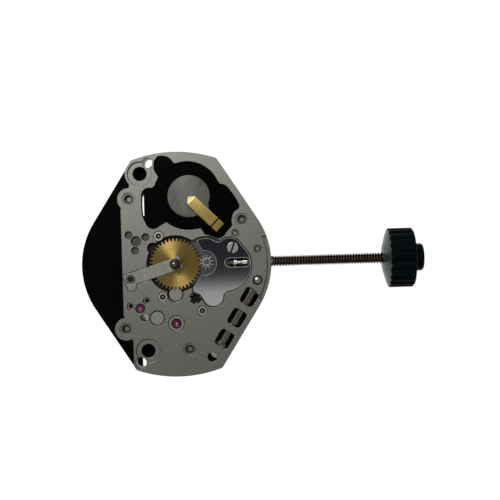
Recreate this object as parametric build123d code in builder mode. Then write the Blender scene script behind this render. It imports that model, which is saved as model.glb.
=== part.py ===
from build123d import *
from math import atan2, cos, degrees, hypot, pi, radians, sin
import os

# A two-hand quartz watch movement with its setting stem and crown.
# Origin on the hands' axis at the mainplate's dial face. +Z points to the dial, +X along the
# stem to 3 o'clock and +Y to 12 o'clock. Lengths are in millimetres, angles in degrees.

# Outline of the movement
movement_width = 15.2
movement_length = 18.0
axis_offset = 0.1
corner_radius = 0.35
plate_thickness = 1.0
base_depth = 1.15
crescent_drop = 0.12
rim_step_width = 0.35
rim_step_drop = 0.3
rim_flange_length = 5.0

# Clearances and cutting allowance
seat_gap = 0.03
running_gap = 0.02
wheel_gap = 0.1
part_gap = 0.05
overrun = 0.2

# Hands, hour wheel and cannon pinion
hour_pipe_diameter = 0.72
hour_pipe_height = 1.1
hour_pipe_foot_diameter = 0.78
hour_seat_height = 0.12
minute_post_diameter = 0.4
minute_post_height = 1.5
minute_shaft_diameter = 0.46
minute_shaft_taper = 0.01
minute_seat_height = 1.12
post_dome_share = 0.36
hour_wheel_thickness = 0.18
hour_wheel_drop = 0.16
hour_recess_depth = 0.42
hour_hub_diameter = 1.1
hub_step = 0.04
hour_notch_radius = 0.45
hour_notch_bearing = 143
cannon_face = 0.2
motion_drop = 0.54
motion_wheel_thickness = 0.12
motion_floor_drop = 0.74
centre_bush_diameter = 0.95

# Motion works: distance and teeth
minute_distance = 2.48
minute_bearing = 1.9
hour_teeth = 40
minute_pinion_teeth = 10
cannon_teeth = 12
minute_wheel_teeth = 36
minute_stud_diameter = 0.34

# Going train: modules, teeth and the bearing of each arbor from the one before it
centre_module = 0.1057
centre_teeth = 36
third_pinion_teeth = 10
third_bearing = -91.65
third_module = 0.126
third_teeth = 32
intermediate_pinion_teeth = 16
intermediate_bearing = 200.1
intermediate_module = 0.0796
intermediate_teeth = 30
step_pinion_teeth = 9
step_bearing = -31.0
step_module = 0.0844
step_teeth = 30
rotor_teeth = 8
rotor_bearing = -17.4
train_wheel_thickness = 0.12
pinion_face = 0.16
train_level_step = 0.2
first_level_drop = 1.06
arbor_diameter = 0.2
pivot_diameter = 0.12
pivot_length = 0.18
arbor_top_drop = 0.42
lightening_count = 5
lightening_share = 0.62

# Tooth form, in modules and in shares of the pitch
addendum = 1.12
dedendum = 1.3
root_width_share = 0.60
pitch_width_share = 0.46
tip_width_share = 0.16

# Step motor
rotor_magnet_diameter = 0.95
rotor_magnet_height = 0.26
magnet_gap = 0.2
stator_thickness = 0.16
stator_pole_width = 1.15
stator_arm_width = 0.8
coil_length_share = 0.8786
coil_inset = 1.052
coil_block_gap = 0.307
coil_diameter = 1.42
coil_drop = 1.32
coil_flange_diameter = 1.62
coil_flange_thickness = 0.15
core_width = 0.7
core_thickness = 0.4
core_tab_length = 0.75
core_tab_width = 1.0

# Battery, its seat, contact and strap
cell_height = 2.1
cell_cap_step = 0.6
cell_cap_height = 0.25
cell_drop = 0.5
cell_edge = 0.2
cap_edge = 0.08
window_rim_wall = 0.33
window_hub_wall = 0.488
seat_lip = 0.2
seat_floor_width = 1.0
seat_fill_drop = 0.3
seat_ring_drop = 0.4
seat_floor = 0.1
seat_bite_diameter = 0.6
slit_width = 0.22
slit_well_width = 0.34
slit_well_lean = 0.15
contact_width = 0.92
contact_thickness = 0.08
contact_rise = 0.14
contact_tip_length = 0.42
contact_foot_length = 0.55
strap_width = 1.3
strap_thickness = 0.12

# Keyless works
stem_drop = 1.05
stem_thread_diameter = 0.9
stem_bearing_diameter = 0.86
stem_square = 0.3
stem_pilot_diameter = 0.28
stem_groove_diameter = 0.46
stem_groove_width = 0.3
stem_pull = 0.4
pilot_start = 3.62
pilot_length = 0.5
clutch_start = 4.66
clutch_length = 1.08
clutch_diameter = 1.0
clutch_groove_diameter = 0.62
clutch_groove_width = 0.44
clutch_groove_share = 0.46
clutch_tooth_length = 0.16
clutch_teeth = 12
groove_start = 6.2
visible_stem = 9.0
crown_length = 2.16
crown_diameter = 4.8
crown_cone_length = 0.32
crown_cone_share = 0.86
crown_flutes = 22
crown_flute_radius = 0.42
crown_flute_depth = 0.13
crown_edge = 0.16
stem_in_crown_share = 0.7
hub_diameter = 2.2
hub_length = 0.8
hub_edge = 0.22
lever_thickness = 0.12
lever_drop = 0.46
lever_width = 0.5
lever_pin_diameter = 0.24
lever_stud_diameter = 0.4
lever_swing_gap = 0.06
yoke_width = 0.42
yoke_finger_width = 0.2
yoke_spring_wire = 0.12
yoke_spring_reach = 1.42
yoke_spring_turn = 20
keyless_roof = 0.4
lever_room_share = 2.5
yoke_room_share = 2.6
stud_room_share = 1.8
arm_width_share = 0.7
block_wall = 0.18

# Cover plate, its screw and the hour wheel clip
cover_thickness = 0.16
cover_drop = 0.03
slot_length = 1.9
slot_width = 0.62
slot_start = 4.02
notch_length = 0.95
notch_width = 0.42
notch_turn = -38
screw_head_diameter = 0.95
screw_head_height = 0.22
screw_slot_width = 0.13
screw_slot_depth = 0.1
screw_shank_diameter = 0.5
cover_screw_turn = 70
cover_reach = 2.1
clip_width = 1.0
clip_thickness = 0.1
clip_drop = 0.02
clip_eye_diameter = 0.72
clip_fork_gap = 0.03
fork_slot_width = 0.32
clip_foot_reach = 0.62
clip_foot_turn = -100
clip_overhang = 0.5

# Back of the movement
board_thickness = 0.25
cover_sheet = 0.12
back_margin = 0.3
pillar_diameter = 0.72
pillar_bore = 0.42
pillar_collar_diameter = 1.02
pillar_collar_depth = 0.12
pillar_top_drop = 0.5
bridge_screw_diameter = 0.38
pillar_screw_head = 1.0
pillar_screw_head_height = 0.16
bridge_screw_head = 0.62
bridge_screw_head_height = 0.12
bridge_screw_length = 0.5
bridge_land = 0.6
crystal_diameter = 1.3
crystal_length = 4.4
crystal_drop = 1.3
chip_width = 1.3
chip_length = 1.5
chip_height = 0.45

# Holes, jewels and studs in the plate
case_hole_diameter = 1.1
case_seat_diameter = 1.94
case_seat_depth = 0.2
case_hole_depth = 1.5
upper_foot_diameter = 0.8
lower_foot_diameter = 0.9
jewel_diameter = 0.76
jewel_thickness = 0.3
jewel_cup_diameter = 0.44
jewel_cup_depth = 0.08
jewel_ring_diameter = 1.28
bearing_disc_diameter = 1.2
bearing_disc_thickness = 0.3
bearing_drop = 0.05
stud_diameter = 0.8
stud_hole_diameter = 0.26
stud_hole_depth = 0.5
stud_groove = 0.05
stud_groove_depth = 0.08
plug_diameter = 0.6
blind_depth = 0.3
dowel_diameter = 0.75
dowel_height = 0.14
dowel_dome_share = 0.8
window_across = 1.18
window_along = 1.36
window_pitch = 1.955
window_corner = 0.26
upper_hump_diameter = 2.4
pillar_hump_diameter = 1.84


def on_plate(x_share, y_share):
    """A place given in shares of the movement's half width and half length."""
    return (axis_offset + x_share * movement_width / 2, y_share * movement_length / 2)


def polar(start, distance, bearing):
    """The place at a distance and a bearing from another one."""
    return (start[0] + distance * cos(radians(bearing)), start[1] + distance * sin(radians(bearing)))


def between(start, end, share):
    """A place on the line from start to end, by its share of the way."""
    return (start[0] + share * (end[0] - start[0]), start[1] + share * (end[1] - start[1]))


def distance_of(start, end):
    """How far two places lie apart."""
    return hypot(end[0] - start[0], end[1] - start[1])


def around(centre, reach, share):
    """A place given in shares of a reach, from the centre of the piece that it follows."""
    return (centre[0] + share[0] * reach, centre[1] + share[1] * reach)


def bearing_of(start, end):
    """The direction from start to end, in degrees from +X."""
    return degrees(atan2(end[1] - start[1], end[0] - start[0]))


def disc(centre, diameter, mode=Mode.ADD):
    """A circle in the sketch that is open."""
    with Locations(centre):
        Circle(diameter / 2, mode=mode)


def bar(start, end, width, mode=Mode.ADD):
    """A round-ended bar in the sketch that is open."""
    with Locations(between(start, end, 1 / 2)):
        SlotCenterToCenter(distance_of(start, end), width, rotation=bearing_of(start, end), mode=mode)


def rod(centre, diameter, low, high, mode=Mode.ADD):
    """An upright cylinder in the part that is open."""
    with Locations((centre[0], centre[1], low)):
        Cylinder(diameter / 2, high - low, align=(Align.CENTER, Align.CENTER, Align.MIN), mode=mode)


def gear_points(teeth, module, phase, tall=addendum):
    """The outline of a gear whose first tooth points at the phase angle."""
    pitch_radius = teeth * module / 2
    root_radius = pitch_radius - dedendum * module
    tip_radius = pitch_radius + tall * module
    pitch_angle = 360 / teeth
    form = [
        (root_radius, -root_width_share / 2),
        (pitch_radius, -pitch_width_share / 2),
        (tip_radius, -tip_width_share / 2),
        (tip_radius, tip_width_share / 2),
        (pitch_radius, pitch_width_share / 2),
        (root_radius, root_width_share / 2),
    ]
    points = []
    for tooth in range(teeth):
        for radius, share in form:
            points.append(polar((0, 0), radius, phase + pitch_angle * (tooth + share)))
    return points


def gear(centre, teeth, module, phase, tall=addendum):
    """A gear's outline in the sketch that is open."""
    with Locations(centre):
        Polygon(*gear_points(teeth, module, phase, tall), align=None)


def meshing_phase(bearing, phase, teeth, partner_teeth):
    """The phase that puts a partner's gap on the tooth that faces it along the bearing."""
    turned = (bearing - phase) * teeth / 360
    return bearing + 180 - (1 / 2 - turned) * 360 / partner_teeth


# Places on the plate, in shares of its half width and half length
upper_case_screw_share = (-0.364, 0.813)
lower_case_screw_share = (-0.325, -0.764)
upper_foot_share = (-0.278, 0.909)
lower_foot_share = (-0.407, -0.872)
pillar_shares = [(-0.487, 0.588), (-0.550, -0.566), (0.700, 0.380), (0.114, -0.761)]
small_blind_shares = [(-0.497, 0.270), (-0.320, 0.248), (-0.432, 0.130)]
large_blind_share = (-0.420, 0.213)
black_hole_share = (0.349, -0.834)
dowel_share = (0.847, -0.164)
clip_anchor_share = (-0.489, -0.124)
cell_share = 0.143
crystal_share = (-0.79, 0.035)
chip_share = (-0.697, -0.317)
stator_bend_share = (0.15, -0.64)
flange_share = (1, -0.05)
hands_axis = (0, 0)
upper_case_screw = on_plate(*upper_case_screw_share)
lower_case_screw = on_plate(*lower_case_screw_share)
upper_foot = on_plate(*upper_foot_share)
lower_foot = on_plate(*lower_foot_share)
pillar_places = [on_plate(*share) for share in pillar_shares]
small_blind_holes = [on_plate(*share) for share in small_blind_shares]
large_blind_hole = on_plate(*large_blind_share)
black_hole = on_plate(*black_hole_share)
dowel_place = on_plate(*dowel_share)
clip_anchor = on_plate(*clip_anchor_share)
crystal_place = on_plate(*crystal_share)
chip_place = on_plate(*chip_share)

# Places of the wheels
minute_place = polar(hands_axis, minute_distance, minute_bearing)
hour_module = 2 * minute_distance / (hour_teeth + minute_pinion_teeth)
cannon_module = 2 * minute_distance / (cannon_teeth + minute_wheel_teeth)
third_distance = centre_module * (centre_teeth + third_pinion_teeth) / 2
third_place = polar(hands_axis, third_distance, third_bearing)
intermediate_distance = third_module * (third_teeth + intermediate_pinion_teeth) / 2
intermediate_place = polar(third_place, intermediate_distance, intermediate_bearing)
step_distance = intermediate_module * (intermediate_teeth + step_pinion_teeth) / 2
step_place = polar(intermediate_place, step_distance, step_bearing)
rotor_distance = step_module * (step_teeth + rotor_teeth) / 2
rotor_place = polar(step_place, rotor_distance, rotor_bearing)

# Radii that the recesses follow
hour_radius = hour_module * (hour_teeth / 2 + addendum)
minute_wheel_radius = cannon_module * (minute_wheel_teeth / 2 + addendum)
centre_radius = centre_module * (centre_teeth / 2 + addendum)
third_radius = third_module * (third_teeth / 2 + addendum)
intermediate_radius = intermediate_module * (intermediate_teeth / 2 + addendum)
step_radius = step_module * (step_teeth / 2 + addendum)
hour_recess_radius = hour_radius + 2 * wheel_gap

# Places beside the wheels, in shares of the hour wheel's recess round the hands' axis
stud_shares = [(-0.559, 0.992), (-0.470, -1.133), (0.898, -1.651)]
plug_shares = [(-1.029, -1.251), (-1.599, -1.423)]
sight_hole_share = (-1.139, -1.827)
stud_places = [around(hands_axis, hour_recess_radius, share) for share in stud_shares]
plug_places = [around(hands_axis, hour_recess_radius, share) for share in plug_shares]
sight_hole = around(hands_axis, hour_recess_radius, sight_hole_share)

# Places of the keyless works, in shares of the cover plate's reach round the minute wheel
cover_screw_share = (1.020, 0.531)
yoke_stud_share = (1.133, 1.080)
lever_stud_share = (1.969, 0.458)
notch_share = (-0.441, -1.350)
cover_screw_place = around(minute_place, cover_reach, cover_screw_share)
yoke_stud = around(minute_place, cover_reach, yoke_stud_share)
lever_stud = around(minute_place, cover_reach, lever_stud_share)
notch_place = around(minute_place, cover_reach, notch_share)

# Battery: the cell fills the room between the rim and the hour wheel, with the window round it
window_top_share = 1.11
window_foot_share = 0.92
window_room = movement_length / 2 - window_rim_wall - window_hub_wall - hour_recess_radius
cell_diameter = 2 * window_room / (window_top_share + window_foot_share)
cell_cap_diameter = cell_diameter - 2 * cell_cap_step
seat_ring_diameter = cell_diameter - 2 * seat_lip
seat_hole_diameter = seat_ring_diameter - 2 * seat_floor_width
cell_height_on_plate = movement_length / 2 - window_rim_wall - window_top_share * cell_diameter / 2
cell_centre = (on_plate(cell_share, 0)[0], cell_height_on_plate)
seat_bite_share = (0.45, -0.30)
seat_bite = around(cell_centre, cell_diameter / 2, seat_bite_share)

# A slit beside the cell lets light through. Below the plate it widens and leans away from the cell
slit_shares = [(-1.256, -0.483), (-1.256, 0.093)]
slit_ends = [around(cell_centre, cell_diameter / 2, share) for share in slit_shares]
slit_well_ends = [around(cell_centre, cell_diameter / 2 + slit_well_lean, share) for share in slit_shares]

# Heights
plate_back = -plate_thickness
base_back = plate_back - base_depth
board_back = base_back - board_thickness
sheet_back = board_back - cover_sheet
cell_back = -cell_drop - cell_height
stem_height = -stem_drop
wheel_tops = [-first_level_drop - level * train_level_step for level in range(4)]
magnet_top = wheel_tops[3] - pinion_face - part_gap
magnet_back = magnet_top - rotor_magnet_height
stator_top = magnet_top
stator_back = stator_top - stator_thickness
cover_top = -cover_drop
cover_back = cover_top - cover_thickness
lever_back = -lever_drop - lever_thickness
stem_line = Plane(origin=(0, 0, stem_height), x_dir=(0, 1, 0), z_dir=(1, 0, 0))

# Outline of the whole movement: flat arcs at 12 and 6, full arcs at 3 and 9, slanted flats
corner_share = (0.452, 0.933)
shoulder_share = (0.855, 0.400)


def quarter(share, across, along):
    """A place on the plate, by a share for the first quarter and the sign of its sides."""
    return on_plate(across * share[0], along * share[1])


# The coil lies along the slanted flat between 3 and 6, its upper end short of the stem's block
flat_low = quarter(corner_share, 1, -1)
flat_high = quarter(shoulder_share, 1, -1)
coil_direction = bearing_of(flat_low, flat_high)
coil_length = coil_length_share * distance_of(flat_low, flat_high)
core_reach = coil_length / 2 + core_tab_length
coil_foot = polar(flat_low, coil_inset, coil_direction + 90)
core_top = -(stem_thread_diameter + coil_block_gap + core_tab_width / 2)
core_way = (core_top - coil_foot[1]) / sin(radians(coil_direction))
core_ends = [polar(coil_foot, core_way - back, coil_direction) for back in (2 * core_reach, 0)]
coil_centre = between(core_ends[0], core_ends[1], 1 / 2)

with BuildSketch() as body_outline:
    with BuildLine():
        for along in (1, -1):
            ThreePointArc(
                quarter(corner_share, -1, along), on_plate(0, along), quarter(corner_share, 1, along)
            )
        for across in (1, -1):
            Line(quarter(corner_share, across, 1), quarter(shoulder_share, across, 1))
            ThreePointArc(
                quarter(shoulder_share, across, 1), on_plate(across, 0), quarter(shoulder_share, across, -1)
            )
            Line(quarter(shoulder_share, across, -1), quarter(corner_share, across, -1))
    make_face()
    fillet(body_outline.vertices(), corner_radius)

# The metal plate stops short on the left, with humps round the screws there
left_cut_shares = [(-1.2, 1.1), (-0.480, 1.1), (-0.480, 0.700), (-0.575, 0.500), (-0.575, -0.440)]
left_cut_shares += [(-0.480, -0.678), (-0.480, -1.1), (-1.2, -1.1)]
with BuildSketch() as plate_outline:
    add(body_outline.sketch)
    Polygon(*[on_plate(*share) for share in left_cut_shares], align=None, mode=Mode.SUBTRACT)
    disc(upper_case_screw, upper_hump_diameter)
    disc(pillar_places[0], pillar_hump_diameter)
    disc(pillar_places[1], pillar_hump_diameter)
    add(body_outline.sketch, mode=Mode.INTERSECT)

# The battery window, drawn round the cell in shares of its radius. Three points are an arc
window_shares = [
    [(-0.924, 0.759), (-0.921, 0.969)],
    [(-0.921, 0.969), (-0.821, 1.100)],
    [(-0.821, 1.100), (-0.628, 1.110), (-0.434, 0.993)],
    [(-0.434, 0.993), (-0.386, 0.910)],
    [(-0.386, 0.910), (-0.317, 0.900)],
    [(-0.317, 0.900), (0.330, 0.875), (0.821, 0.390)],
    [(0.821, 0.390), (0.879, 0.300)],
    [(0.879, 0.300), (1.021, 0.262), (1.107, 0.190)],
    [(1.107, 0.190), (1.224, 0.028), (1.407, -0.314)],
    [(1.407, -0.314), (1.379, -0.393), (1.262, -0.466)],
    [(1.262, -0.466), (1.180, -0.660), (1.190, -0.852)],
    [(1.190, -0.852), (0.962, -1.128)],
    [(0.962, -1.128), (0.845, -1.200), (0.717, -1.169)],
    [(0.717, -1.169), (0.434, -1.076)],
    [(0.434, -1.076), (0.314, -0.900)],
    [(0.314, -0.900), (-0.180, -0.920), (-0.631, -0.710)],
    [(-0.631, -0.710), (-0.752, -0.786), (-0.807, -0.803)],
    [(-0.807, -0.803), (-0.990, -0.890), (-1.176, -0.762)],
    [(-1.176, -0.762), (-1.283, -0.514)],
    [(-1.283, -0.514), (-1.300, -0.286), (-1.293, 0.031)],
    [(-1.293, 0.031), (-1.220, 0.195), (-1.093, 0.248)],
    [(-1.093, 0.248), (-0.952, 0.269), (-0.897, 0.355)],
    [(-0.897, 0.355), (-0.803, 0.552)],
    [(-0.803, 0.552), (-0.862, 0.628), (-0.924, 0.759)],
]

# The keyless cover plate, drawn round the minute wheel in shares of a reach
cover_shares = [
    [(-0.371, 0.843), (-0.038, 0.943), (0.352, 0.819)],
    [(0.352, 0.819), (0.481, 0.781), (0.600, 0.832)],
    [(0.600, 0.832), (0.880, 0.930), (1.395, 0.590)],
    [(1.395, 0.590), (1.729, -0.110), (1.438, -0.810)],
    [(1.438, -0.810), (1.170, -1.030), (0.862, -1.133)],
    [(0.862, -1.133), (0.700, -1.190), (0.633, -1.300)],
    [(0.633, -1.300), (0.224, -1.705), (-0.157, -1.429)],
    [(-0.157, -1.429), (-0.281, -1.233)],
    [(-0.281, -1.233), (-0.457, -1.157)],
    [(-0.457, -1.157), (-0.560, -1.035), (-0.486, -0.862)],
    [(-0.486, -0.862), (-0.190, -0.457)],
    [(-0.190, -0.457), (0.362, 0.019), (-0.095, 0.419)],
    [(-0.095, 0.419), (-0.190, 0.486), (-0.250, 0.600)],
    [(-0.250, 0.600), (-0.371, 0.843)],
]


def stretches(shares, centre, reach):
    """The lines and arcs of an outline in the line that is open, from shares of a reach round a centre."""
    for stretch in shares:
        points = [around(centre, reach, share) for share in stretch]
        if len(points) == 2:
            Line(*points)
        else:
            ThreePointArc(*points)


with BuildSketch() as window_outline:
    with BuildLine():
        stretches(window_shares, cell_centre, cell_diameter / 2)
    make_face()
with BuildSketch() as cover_outline:
    with BuildLine():
        stretches(cover_shares, minute_place, cover_reach)
    make_face()

# The hour wheel's clip lies flush in its own seat, so that a dial rests on the plate
clip_bearing = bearing_of(clip_anchor, hands_axis)
clip_tip = polar(hands_axis, clip_overhang, clip_bearing)
clip_tail = polar(clip_anchor, -clip_overhang, clip_bearing)
clip_foot = polar(clip_anchor, clip_foot_reach, clip_bearing + clip_foot_turn)
clip_back = -clip_drop - clip_thickness
with BuildSketch() as clip_outline:
    with Locations(between(clip_tail, clip_tip, 1 / 2)):
        RectangleRounded(
            distance_of(clip_tail, clip_tip), clip_width, clip_thickness, rotation=clip_bearing
        )
    bar(clip_anchor, clip_foot, clip_width * arm_width_share)

# Chambers that the train and the motor need below the plate
chamber_places = [
    (hands_axis, 2 * (centre_radius + wheel_gap)),
    (third_place, 2 * (third_radius + wheel_gap)),
    (intermediate_place, 2 * (intermediate_radius + wheel_gap)),
    (step_place, 2 * (step_radius + wheel_gap)),
    (rotor_place, stator_pole_width + 2 * wheel_gap),
]
# One stator arm bends round the stud that stands beside the coil
stud_way = stud_diameter / 2 + part_gap + stator_arm_width / 2
stud_side = bearing_of(rotor_place, core_ends[1]) + 90
stator_bends = [on_plate(*stator_bend_share), polar(stud_places[2], stud_way, stud_side)]
with BuildSketch() as stator_outline:
    disc(rotor_place, 2 * stator_pole_width)
    bar(rotor_place, stator_bends[0], stator_arm_width)
    bar(stator_bends[0], core_ends[0], stator_arm_width)
    bar(rotor_place, stator_bends[1], stator_arm_width)
    bar(stator_bends[1], core_ends[1], stator_arm_width)
with BuildSketch() as bridge_outline:
    for place in [hands_axis, stud_places[0], stud_places[2], rotor_place, step_place, intermediate_place]:
        disc(place, 2 * bridge_land)
    make_hull()

# Keyless room under the plate's roof: the lever and the yoke swing here
lever_pin_place = (
    groove_start + stem_groove_width / 2,
    (stem_groove_diameter + lever_pin_diameter) / 2 + lever_swing_gap,
)
yoke_finger_place = (
    clutch_start + clutch_length * clutch_groove_share,
    clutch_groove_diameter / 2 + part_gap,
)
lever_arm_end = (yoke_finger_place[0] + lever_width, lever_stud[1] + lever_width / 3)


def keyless_bars(growth):
    """The keyless room's outline in the sketch that is open, widened all round."""
    bar(yoke_stud, (yoke_finger_place[0], 0), yoke_width * yoke_room_share + 2 * growth)
    bar(lever_stud, (lever_pin_place[0], 0), lever_width * lever_room_share + 2 * growth)
    bar(lever_stud, (lever_arm_end[0], lever_stud[1]), lever_width * lever_room_share + 2 * growth)
    bar(yoke_stud, lever_stud, lever_width * stud_room_share + 2 * growth)


# Mainplate
with BuildPart() as mainplate:
    with BuildSketch(Plane.XY.offset(plate_back)):
        add(plate_outline.sketch)
    extrude(amount=plate_thickness)
    # Block that carries the stem, and the one for its pilot
    block_height = stem_drop + stem_bearing_diameter / 2 + block_wall
    block_start = clutch_start + clutch_length + stem_pull
    with BuildSketch(Plane.XY.offset(-block_height)):
        with Locations((block_start, 0)):
            Rectangle(movement_width, 2 * stem_thread_diameter, align=(Align.MIN, Align.CENTER))
        add(offset(body_outline.sketch, -rim_step_width, mode=Mode.PRIVATE), mode=Mode.INTERSECT)
    extrude(amount=block_height - plate_thickness / 2)
    with Locations((pilot_start, 0, -block_height)):
        Box(
            pilot_length,
            stem_thread_diameter,
            block_height - plate_thickness / 2,
            align=(Align.MIN, Align.CENTER, Align.MIN),
        )
    # Low flange along the rim at 3 o'clock
    with BuildSketch(Plane.XY.offset(-rim_step_drop)):
        add(body_outline.sketch)
        add(offset(body_outline.sketch, -rim_step_width, mode=Mode.PRIVATE), mode=Mode.SUBTRACT)
        with Locations(on_plate(*flange_share)):
            Rectangle(rim_flange_length, rim_flange_length, mode=Mode.INTERSECT)
    extrude(amount=rim_step_drop + overrun, mode=Mode.SUBTRACT)
    # Battery window
    with BuildSketch(Plane.XY.offset(plate_back - overrun)):
        add(window_outline.sketch)
    extrude(amount=plate_thickness + 2 * overrun, mode=Mode.SUBTRACT)
    rod(cell_centre, cell_diameter + 4 * part_gap, plate_back - overrun, -seat_ring_drop, Mode.SUBTRACT)
    # Coil windows, and the trough behind them
    with BuildSketch(Plane.XY.offset(plate_back - overrun)):
        for step in (-1, 0, 1):
            with Locations(polar(coil_centre, step * window_pitch, coil_direction)):
                RectangleRounded(window_along, window_across, window_corner, rotation=coil_direction)
    extrude(amount=plate_thickness + 2 * overrun, mode=Mode.SUBTRACT)
    trough_drop = coil_drop - coil_flange_diameter / 2 - part_gap
    trough_length = coil_length + 2 * part_gap
    trough_width = coil_flange_diameter + 2 * part_gap
    with BuildSketch(Plane.XY.offset(plate_back - overrun)):
        with Locations(coil_centre):
            Rectangle(trough_length, trough_width, rotation=coil_direction)
        bar(core_ends[0], core_ends[1], core_tab_width + 2 * part_gap)
    extrude(amount=plate_thickness - trough_drop + overrun, mode=Mode.SUBTRACT)
    # Recess of the hour wheel, with its notch and the lobe over the third wheel's bearing
    with BuildSketch(Plane.XY.offset(-hour_recess_depth)):
        disc(hands_axis, 2 * hour_recess_radius)
        disc(polar(hands_axis, hour_radius + wheel_gap, hour_notch_bearing), 2 * hour_notch_radius)
        disc(third_place, bearing_disc_diameter + 2 * seat_gap)
    extrude(amount=hour_recess_depth + overrun, mode=Mode.SUBTRACT)
    # Seat of the hour wheel's clip
    with BuildSketch(Plane.XY.offset(clip_back)):
        add(offset(clip_outline.sketch, seat_gap, mode=Mode.PRIVATE))
    extrude(amount=-clip_back + overrun, mode=Mode.SUBTRACT)
    # Seat of the cover plate and the notch at its tail
    with BuildSketch(Plane.XY.offset(cover_back)):
        add(offset(cover_outline.sketch, seat_gap, mode=Mode.PRIVATE))
        with Locations(notch_place):
            Rectangle(notch_length, notch_width, rotation=notch_turn)
            Rectangle(notch_width, notch_length, rotation=notch_turn)
    extrude(amount=-cover_back + overrun, mode=Mode.SUBTRACT)
    with BuildSketch(Plane.XY.offset(-motion_drop)):
        with Locations(notch_place):
            Rectangle(notch_length, notch_width, rotation=notch_turn)
    extrude(amount=motion_drop, mode=Mode.SUBTRACT)
    # Pocket of the minute wheel and the cannon pinion
    with BuildSketch(Plane.XY.offset(-motion_floor_drop)):
        disc(minute_place, 2 * (minute_wheel_radius + wheel_gap))
        disc(hands_axis, 2 * (cannon_module * (cannon_teeth / 2 + addendum) + wheel_gap))
    extrude(amount=motion_floor_drop, mode=Mode.SUBTRACT)
    # Room of the clutch, lever and yoke, open to the back, and the slot over the clutch
    with BuildSketch(Plane.XY.offset(-block_height - overrun)):
        with Locations((pilot_start + pilot_length, 0)):
            Rectangle(
                block_start - pilot_start - pilot_length,
                clutch_diameter + 2 * wheel_gap,
                align=(Align.MIN, Align.CENTER),
            )
        keyless_bars(0)
    extrude(amount=block_height + overrun - keyless_roof, mode=Mode.SUBTRACT)
    with Locations((slot_start, 0, -keyless_roof - overrun)):
        Box(
            slot_length,
            slot_width,
            keyless_roof + overrun,
            align=(Align.MIN, Align.CENTER, Align.MIN),
            mode=Mode.SUBTRACT,
        )
    # Bores of the stem
    with BuildSketch(stem_line.offset(block_start - overrun)):
        Circle(stem_bearing_diameter / 2 + running_gap)
    extrude(amount=movement_width / 2, mode=Mode.SUBTRACT)
    with BuildSketch(stem_line.offset(pilot_start - overrun)):
        Circle(stem_pilot_diameter / 2 + running_gap)
    extrude(amount=pilot_length + 2 * overrun, mode=Mode.SUBTRACT)
    # Holes
    for place in (upper_case_screw, lower_case_screw):
        rod(place, case_hole_diameter, plate_back - overrun, overrun, Mode.SUBTRACT)
        rod(place, case_seat_diameter, -case_seat_depth, overrun, Mode.SUBTRACT)
    rod(upper_foot, upper_foot_diameter, plate_back - overrun, overrun, Mode.SUBTRACT)
    rod(lower_foot, lower_foot_diameter, plate_back - overrun, overrun, Mode.SUBTRACT)
    for place in pillar_places:
        rod(place, pillar_diameter, plate_back - overrun, overrun, Mode.SUBTRACT)
        rod(place, pillar_collar_diameter, -pillar_collar_depth, overrun, Mode.SUBTRACT)
    for place in small_blind_holes:
        rod(place, plug_diameter, -blind_depth, overrun, Mode.SUBTRACT)
    rod(large_blind_hole, stud_diameter, -blind_depth, overrun, Mode.SUBTRACT)
    for place in stud_places:
        rod(place, stud_diameter, plate_back - overrun, overrun, Mode.SUBTRACT)
    for place in plug_places:
        rod(place, plug_diameter, plate_back - overrun, overrun, Mode.SUBTRACT)
    rod(sight_hole, plug_diameter, plate_back - overrun, overrun, Mode.SUBTRACT)
    rod(black_hole, dowel_diameter, plate_back - overrun, overrun, Mode.SUBTRACT)
    rod(dowel_place, dowel_diameter, plate_back - overrun, overrun, Mode.SUBTRACT)
    for place in (yoke_stud, lever_stud):
        rod(place, lever_stud_diameter + 2 * running_gap, plate_back, overrun, Mode.SUBTRACT)
        rod(place, plug_diameter + 4 * seat_gap, -keyless_roof / 2, overrun, Mode.SUBTRACT)
    # Cover screw's thread hole
    rod(cover_screw_place, screw_shank_diameter, plate_back - overrun, overrun, Mode.SUBTRACT)
    # Bearings of the train, open below so that the arbors pass
    for place in (rotor_place, step_place, intermediate_place, third_place):
        rod(place, 3 * arbor_diameter, plate_back - overrun, overrun, Mode.SUBTRACT)
    rod(rotor_place, jewel_ring_diameter, -jewel_thickness - bearing_drop, overrun, Mode.SUBTRACT)
    rod(intermediate_place, jewel_diameter, -jewel_thickness - bearing_drop, overrun, Mode.SUBTRACT)
    rod(step_place, bearing_disc_diameter, -bearing_disc_thickness - bearing_drop, overrun, Mode.SUBTRACT)
    third_bearing_back = -hour_recess_depth - bearing_disc_thickness
    rod(third_place, bearing_disc_diameter, third_bearing_back, overrun, Mode.SUBTRACT)
    rod(hands_axis, centre_bush_diameter, plate_back - overrun, overrun, Mode.SUBTRACT)
    rod(minute_place, minute_stud_diameter, plate_back - overrun, overrun, Mode.SUBTRACT)
mainplate.part.label = "mainplate"

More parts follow.
